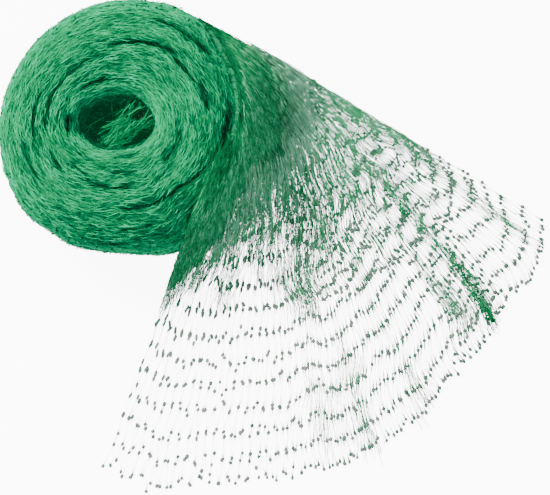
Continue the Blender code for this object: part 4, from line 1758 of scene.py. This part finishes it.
    def hanging_weight(self) -> Array:
        """How thickly loose strands lie on each point of the surface map.

        Returns:
            The weight: less and less past the edge, in patches and streaks, and more in folds and tangles.
        """
        place, distance, bearing, beyond = self.place, self.distance, self.bearing, self.beyond
        patches = ease(drift(place * 52.0, distance / 10.0, 5.0), -0.3, 0.4)
        patches = 1 - 0.8 * (1 - patches) * ease(beyond, 5.0, 40.0)
        streaks = ease(drift(place * 230.0, distance / 22.0, 9.0), -0.35, 0.25)
        streaks = 1 - 0.8 * (1 - streaks) * ease(beyond, -12.0, 8.0)
        inner = -30.0 + 16.0 * fall_off(bearing, -98.0, -78.0)
        weight = 1 - np.clip((beyond - 2.0) / (read_straight(bearing, self.hang) - 2.0), 0.0, 1.0)
        weight = weight * ease(beyond, inner, inner + 20.0) * patches * streaks
        for fold in self.form.folds:
            if fold[1] < 125.0:
                weight = np.maximum(weight, 0.25 * self.in_fold(fold, 0.6))
        for middle, start, end, half_width, strength in self.tangles:
            aside = np.radians(bearing - middle) * distance + 1.5 * np.sin(distance / 9.0 + middle)
            weight = np.maximum(weight, strength * span(distance, start, end, 10) * bell(aside / half_width))
        return weight * (distance < np.where(bearing < -60.0, 272.0, 228.0))

    def hanging(self, finish: Material) -> Piece:
        """Strands of several filaments each, drawn as one, where the matted net opens into single threads.

        Args:
            finish: their material.

        Returns:
            The piece.
        """
        weight = self.hanging_weight() + self.least_weight
        across, along = self.surface.scatter(self.hanging_threads, weight, self.rng)
        across = self.clumped(across, along)
        heading = self.rng.normal(0, 2.5, len(across))
        # Painted shade where they lie over the matted net.
        shade = 0.5 * fall_off(self.beyond, -22.0, 2.0)
        weave = Weave(0.145, 4, 5.6, 0.5, 12.0, 0.3, (0.2, 1.8), (-0.05, 0.75), sunk=0.0, tone_spread=0.3)
        layer = ThreadLayer(self.surface, weave, self.rng)
        return layer.piece("hanging_threads", (across, along), heading, shade, finish, Held.LOOSE)

    def streak(self, finish: Material) -> Piece:
        """The long fold in which the net lies gathered out to its end, with its strands on top.

        Args:
            finish: their material.

        Returns:
            The piece.
        """
        distance, (first, last) = self.distance, self.streak_reach
        half_width = read_straight(distance, self.streak_half_width)
        aside = np.radians(self.bearing - read_straight(distance, self.streak_middle)) * distance / half_width
        weight = bell(aside) / half_width * read_straight(distance, self.streak_thickness)
        weight = weight * (distance > first) * (distance < last) + self.least_weight
        places = self.surface.scatter(self.streak_threads, weight, self.rng)
        heading = self.rng.normal(0, 5.0, self.streak_threads)
        weave = Weave(0.21, 5, 3.6, 0.7, 16.0, 0.4, (0.4, 3.2), (-0.3, 0.4), sunk=0.0, tone_spread=0.25)
        layer = ThreadLayer(self.surface, weave, self.rng)
        return layer.piece("streak_threads", places, heading, 0 * weight, finish, Held.LOOSE)

    def shoulder(self, roll: WoundForm) -> tuple[SurfaceMap, Array]:
        """The ground on both sides of the left selvedge where it lies on the roll.

        Args:
            roll: the form that the selvedge lies on.

        Returns:
            Its surface, smoothed, and how thickly threads lie there.
        """
        first_x, last_x, first_y, last_y = self.bridge_box
        across_x = np.linspace(first_x, last_x, round(last_x - first_x) + 1)
        along_y = np.linspace(first_y, last_y, round(last_y - first_y) + 1)
        x, y = np.meshgrid(across_x, along_y, indexing="ij")
        beyond = self.form.selvedge_distance(x, y)
        face = roll.top_height(x, y)
        over = self.form.middle_height(x, y) + self.form.thickness / 2
        height = np.where(beyond > 0, np.maximum(over, face), face)
        for _ in range(3):
            padded = np.pad(height, 1, mode="edge")
            beside = padded[:-2, 1:-1] + padded[2:, 1:-1] + padded[1:-1, :-2] + padded[1:-1, 2:]
            height = (beside + height) / 5
        ground = SurfaceMap(np.stack([x, y, height], axis=-1), (first_x, last_x), (first_y, last_y))
        ground.face_up()
        radius, bearing = polar(roll.centre, x, y)
        on_roll = (radius < roll.rim_radius(bearing) - 3.0) * (bearing < -14.0)
        return ground, bell(beyond / self.bridge_half_width) * on_roll + self.least_weight

    def bridge(self, roll: WoundForm, finish: Material) -> Piece:
        """Threads that cross the left selvedge on the roll's shoulder, so that the last turn has no seam.

        Args:
            roll: the form that the selvedge lies on.
            finish: their material.

        Returns:
            The piece.
        """
        ground, weight = self.shoulder(roll)
        across, along = ground.scatter(self.bridge_threads, weight, self.rng)
        winding = polar(roll.centre, across, along)[1] - 90.0
        loose = ease(self.form.selvedge_distance(across, along), -6.0, 6.0)
        toward = winding + (self.form.bearings[0] - 2.0 - winding) * loose
        heading = 90.0 - toward + self.rng.normal(0, 9.0, len(across))
        layer = ThreadLayer(ground, Weave(0.2, 6, 3.6, 0.5, 13.0, 0.35, (0.0, 0.9), (-0.2, 0.3)), self.rng)
        # Painted shade, even over all these threads.
        shade = np.full(weight.shape, 0.15)
        return layer.piece("shoulder_threads", (across, along), heading, shade, finish, Held.LOOSE)

    def knot_places(self, layer: int) -> tuple[Array, Array, Array]:
        """Thread place and distance of each knot, rows by columns, and which knots are built.

        Args:
            layer: 0 for the net on the surface, 1 for the part of it that lies double at the right.

        Returns:
            Places, distances and a mask.
        """
        rng = self.rng
        row, column = np.arange(self.rows)[:, None], np.arange(self.columns + 1)[None, :]
        place = (column + 0.5 * (row % 2)) / (self.columns + 0.5)
        share, _, _ = self.fan_place(place, np.full(place.shape, 200.0))
        left, right = self.mesh_pitch
        pitch = left + (right - left) * ease(share, 0.2, 0.6) + 1.2 * fall_off(share, 0.0, 0.18)
        rough = 0.3 + 0.7 * ease(share, 0.2, 0.5)
        ragged = 2.5 * (row == 0) * rng.random(place.shape) + 0.55 * pitch * layer
        distance = 280.0 - row * pitch
        drawn = rng.uniform(0.5, 0.95, (self.rows, 1)) * (1 - 0.4 * (row == 0))
        aside = rng.normal(0, 1.1, (self.rows, 1)) + 3.0 * layer
        for _ in range(3):  # a row's sway depends on its bearing, and that on how far out it lies
            share, _, _ = self.fan_place(place, distance)
            bearing = self.form.bearing_at(share)
            last = read_table(bearing, self.last_knots) - ragged
            bearing = bearing + aside + 2.0 * drift(share * 12.0, distance / 25.0, 4.0)
            distance = last - row * pitch + drawn * read_table(bearing, self.form.row_sway)
        distance += 1.3 * rough * drift(share * 41.0, distance / 24.0, 1.0 + 5.0 * layer)
        distance += rng.normal(0, 1.9, place.shape) * (1.25 - rough) + rng.normal(0, 1.0, place.shape)
        loose = fall_off(share, 0.12, 0.4) * ease(distance, 200.0, 250.0)
        distance -= np.abs(rng.normal(0, 3.0, place.shape)) * loose
        paired = self.pairing * (1.35 - rough) * (0.5 - column % 2) / self.columns
        place = place + 2 * paired + rng.normal(0, 0.0014, place.shape)
        place = self.clumped(np.clip(place, 0.0, 1.0), distance)
        shown = distance > self.dense_edge(place) - 22.0 - 26.0 * ease(place, 0.25, 0.5)
        first, full, ends = self.second_layer
        double = place > first + (full - first) * rng.random(place.shape)
        at_end = (place > ends - self.second_edge) & (place < ends)
        return place, distance, shown & ((double & ((distance < self.second_reach) | at_end)) | (layer == 0))

    def layered(self, place: Array, distance: Array) -> Array:
        """Tells where the open mesh lies in several layers.

        Args:
            place, distance: where on the sheet.

        Returns:
            0, one layer, to 1, many.
        """
        edge = self.dense_edge(place)
        right = ease(place, 0.3, 0.55)
        return np.maximum(fall_off(distance, edge, edge + 60.0 + 60.0 * right), 0.25 * right)

    def lifted(self, place: Array, distance: Array, level: Array) -> Places:
        """Raises points over the sheet.

        Args:
            place, distance: where on the sheet.
            level: height over the sheet's lower face.

        Returns:
            The points, and the normals there.
        """
        normals = self.surface.read(self.surface.normals, place, distance)
        points = self.surface.read(self.surface.points, place, distance)
        points = points + normals * (level[..., None] - self.form.thickness / 2)
        points[..., 2] = np.maximum(points[..., 2], self.filament_radius[1])
        return points, normals

    def open_mesh(self, thread: Material, knot: Material) -> list[Piece]:
        """The fan's diamonds: two threads from each knot to the next row, and the knots themselves.

        Args:
            thread: the threads' material.
            knot: the knots' material.

        Returns:
            Both pieces.
        """
        threads, knots = MeshOfMany(), MeshOfMany()
        for layer in (0, 1):
            place, distance, shown = self.knot_places(layer)
            level = 0.7 + 0.5 * drift(place * 60.0, distance / 12.0, 7.0)
            level = level + self.rng.uniform(0, 0.4, place.shape)
            level = level + 1.9 * fall_off(distance - self.dense_edge(place), 0.0, 20.0) + 0.8 * layer
            self.add_diamonds(threads, place, distance, level, shown)
            self.add_diamond_knots(knots, place, distance, level, shown)
        return [
            threads.piece("spread_threads", thread, Held.LOOSE),
            knots.piece("spread_knots", knot, Held.LOOSE),
        ]

    def add_diamonds(
        self, target: MeshOfMany, place: Array, distance: Array, level: Array, shown: Array
    ) -> None:
        """Adds a layer's threads, thicker at their ends, where two filaments run into a knot together.

        Args:
            target: the mesh that gets them.
            place, distance: of each knot, rows by columns.
            level: its height over the sheet's lower face.
            shown: which are built.
        """
        steps = np.linspace(0, 1, 4)
        single, many = self.filament_radius
        for row, aside in ((row, aside) for row in range(self.rows - 1) for aside in (0, 1)):
            first = np.arange(self.columns + 1)
            second = first + aside - (1 - row % 2)
            good = (second >= 0) & (second <= self.columns)
            first, second = first[good], second[good]
            good = shown[row, first] & shown[row + 1, second]
            first, second = first[good], second[good]
            if len(first) == 0:
                continue
            each = (len(first), 1)
            bow = self.rng.normal(0, 0.0018, each) * np.sin(math.pi * steps)
            across, along, height = (
                values[row, first][:, None] * (1 - steps) + values[row + 1, second][:, None] * steps
                for values in (place, distance, level)
            )
            across = across + bow
            paths, normals = self.lifted(across, along, height)
            beyond = along - self.dense_edge(across)
            tone = self.rng.normal(0.4, 0.2, each)
            # Painted light on threads near the edge where the net opens.
            tone = tone + 0.7 * ease(beyond, -42.0, -8.0) * fall_off(beyond, 18.0, 55.0)
            thin = single + (many - single) * self.layered(across, along)
            thick = read_table(across, self.flare) * self.rng.uniform(0.4, 1.4, each)
            radius = thin + (np.maximum(thick, thin) - thin) * np.abs(2 * steps - 1) ** 3
            radius = radius * np.clip(self.room(across, along) / 1.1, 0.55, 1.0)
            target.add_strands(paths, normals, radius, tone)

    def add_diamond_knots(
        self, target: MeshOfMany, place: Array, distance: Array, level: Array, shown: Array
    ) -> None:
        """Adds a layer's knots, drawn long near the roll, and fewer where they crowd each other out of sight.

        Args:
            target: the mesh that gets them.
            place, distance: of each knot, rows by columns.
            level: its height over the sheet's lower face.
            shown: which are built.
        """
        rng = self.rng
        beyond = distance - self.dense_edge(place)
        share = np.clip(self.room(place, distance) / 1.4, 0.3, 1.0) * ease(beyond, 2.0, 34.0)
        kept = shown & (rng.random(place.shape) < share)
        place, distance, level, beyond = place[kept], distance[kept], level[kept], beyond[kept]
        centres, normals = self.lifted(place, distance, level)
        ahead = unit(self.lifted(place, distance + 2.0, level)[0] - centres)
        ahead = ahead + rng.normal(0, 0.2, ahead.shape)
        drawn = 1 + 1.1 * fall_off(beyond, 20.0, 110.0) * (1 - 0.6 * ease(place, 0.3, 0.6))
        crowded = np.clip(self.room(place, distance) / 1.8, 0.7, 1.0)
        length = rng.uniform(*self.knot_length, len(place)) * drawn * crowded
        width = rng.uniform(*self.knot_width, len(place)) * crowded * (1.2 - 0.2 * drawn)
        centres[:, 2] = np.maximum(centres[:, 2], width)
        tone = 0.75 - 0.75 * self.layered(place, distance) + rng.normal(0, 0.12, len(place))
        target.add_knots(centres, ahead, normals, np.stack([length, width], axis=1), tone)

    def build(self, roll: WoundForm) -> None:
        """Builds and dresses the loose end.

        Args:
            roll: the form that it lies over.
        """
        shades = (  # name, painted shade between threads, deep, body and bright
            ("loose_polyethylene_monofilament", "#00341d", "#087846", "#1e9c60", "#66d09c"),
            ("single_polyethylene_monofilament", "#0d5a3c", "#208452", "#48aa7a", "#94dab6"),
            ("hanging_polyethylene_monofilament", "#00341d", "#188650", "#42b07a", "#90dab6"),
            ("loose_knotted_monofilament", "#1a5c3e", "#2c7052", "#446a58", "#8a928e"),
        )
        thread, single, hanging, knot = (DrawnMonofilament(*row).build() for row in shades)
        sheet = self.skin(MattedNetting("loose_matted_polyethylene_netting", deep="#0e6240", body="#249864"))
        pieces = [self.band(thread), self.hanging(hanging), self.streak(hanging), self.bridge(roll, thread)]
        pieces += self.open_mesh(single, knot)


# ---- the studio ----


@dataclass(frozen=True)
class SoftBox:
    """A square area light."""

    name: str
    place: Triple  # metres
    size: float
    power: float
    tint: str = "#ffffff"

    def build(self, aim: Triple) -> None:
        """Adds the light.

        Args:
            aim: the place that it faces, in metres.
        """
        light = bpy.data.lights.new(self.name, "AREA")
        light.shape = "SQUARE"
        light.size = self.size
        light.energy = self.power
        light.color = linear(self.tint)[:3]
        box = bpy.data.objects.new(self.name, light)
        bpy.context.scene.collection.objects.link(box)
        box.location = self.place
        toward = Vector(aim) - Vector(self.place)
        box.rotation_euler = toward.to_track_quat("-Z", "Y").to_euler()


@dataclass(frozen=True)
class Studio:
    """Pale paper, soft light from above and a camera that looks straight down."""

    eye: Triple = (-0.0033, 0.0024, 1.15)
    view_width: float = 0.3553  # metres of the surface that the view takes in
    sensor_mm: float = 36.0
    floor_half: float = 3000.0
    patch_radius: float = 50.0
    patch_sides: int = 48
    sky: float = 0.55
    sky_tint: str = "#f6f9fb"
    aim: Triple = (-0.04, 0.03, 0.03)  # of all the lights

    def paper(self, name: str, ring: Array, sunk: float, finish: StudioPaper) -> Piece:
        """Adds a flat sheet of paper.

        Args:
            name: the sheet's name.
            ring: its corners, in millimetres.
            sunk: how far under the surface it lies, in millimetres.
            finish: its finish.

        Returns:
            The sheet.
        """
        mesh = new_mesh(name, ring, [tuple(range(len(ring)))])
        mesh.materials.append(finish.build())
        sheet = bpy.data.objects.new(name, mesh)
        sheet.location.z = -sunk * MM
        bpy.context.scene.collection.objects.link(sheet)
        return sheet

    def floor(self) -> None:
        """The glowing paper, and a plain patch inside the roll, lit by what falls in and by a faint painted
        glow.
        """
        corners = np.array([(-1, -1, 0), (1, -1, 0), (1, 1, 0), (-1, 1, 0)]) * self.floor_half
        paper = self.paper("paper_floor", corners, 0.6, StudioPaper())
        paper.visible_diffuse = False
        paper.visible_glossy = False
        turns = np.arange(self.patch_sides) * 360.0 / self.patch_sides
        x, y = plan_point(LooseForm.roll_centre, self.patch_radius, turns)
        ring = np.stack([x, y, 0 * x], axis=-1)
        # The patch's faint glow is painted light in the bore.
        patch = self.paper("paper_in_bore", ring, 0.3, StudioPaper("studio_paper_in_shade", glow=0.06))

    def lights(self) -> None:
        """A key box from the upper left, weaker boxes to the other sides, two low boxes, and a pale sky."""
        boxes = (
            SoftBox("key_box", (-0.75, 0.7, 1.25), 0.4, 44.0, "#fffaf0"),
            SoftBox("right_box", (0.85, 0.55, 1.2), 0.4, 5.0),
            SoftBox("left_box", (-0.7, -0.75, 1.2), 0.4, 7.0),
            SoftBox("fill_box", (0.8, -0.8, 1.1), 0.5, 2.5, "#f2f8ff"),
            SoftBox("low_box", (-0.15, -1.2, 0.45), 0.5, 3.0),
            SoftBox("low_right_box", (1.15, 0.1, 0.4), 0.5, 1.4),
        )
        for box in boxes:
            box.build(self.aim)
        world = bpy.data.worlds.new("pale_sky")
        world.use_nodes = True
        background = world.node_tree.nodes["Background"]
        background.inputs["Color"].default_value = linear(self.sky_tint)
        background.inputs["Strength"].default_value = self.sky
        bpy.context.scene.world = world

    def camera(self) -> None:
        """A long lens straight above, so the roll's sides stay hidden."""
        camera = bpy.data.cameras.new("view")
        camera.sensor_width = self.sensor_mm
        camera.lens = self.sensor_mm * self.eye[2] / self.view_width
        eye = bpy.data.objects.new("view", camera)
        eye.location = self.eye
        bpy.context.scene.collection.objects.link(eye)
        bpy.context.scene.camera = eye

    def build(self) -> None:
        """Sets the whole studio."""
        self.camera()
        self.lights()
        self.floor()


def main() -> None:
    """Builds the studio and both parts of the net."""
    logging.basicConfig(level=logging.INFO, format="%(message)s")
    Studio().build()
    loose = LooseForm()
    roll = WoundForm(loose)
    WoundRoll(roll, np.random.default_rng(SEED)).build()
    LooseEnd(loose, np.random.default_rng(SEED + 1)).build(roll)


if __name__ == "__main__":
    main()
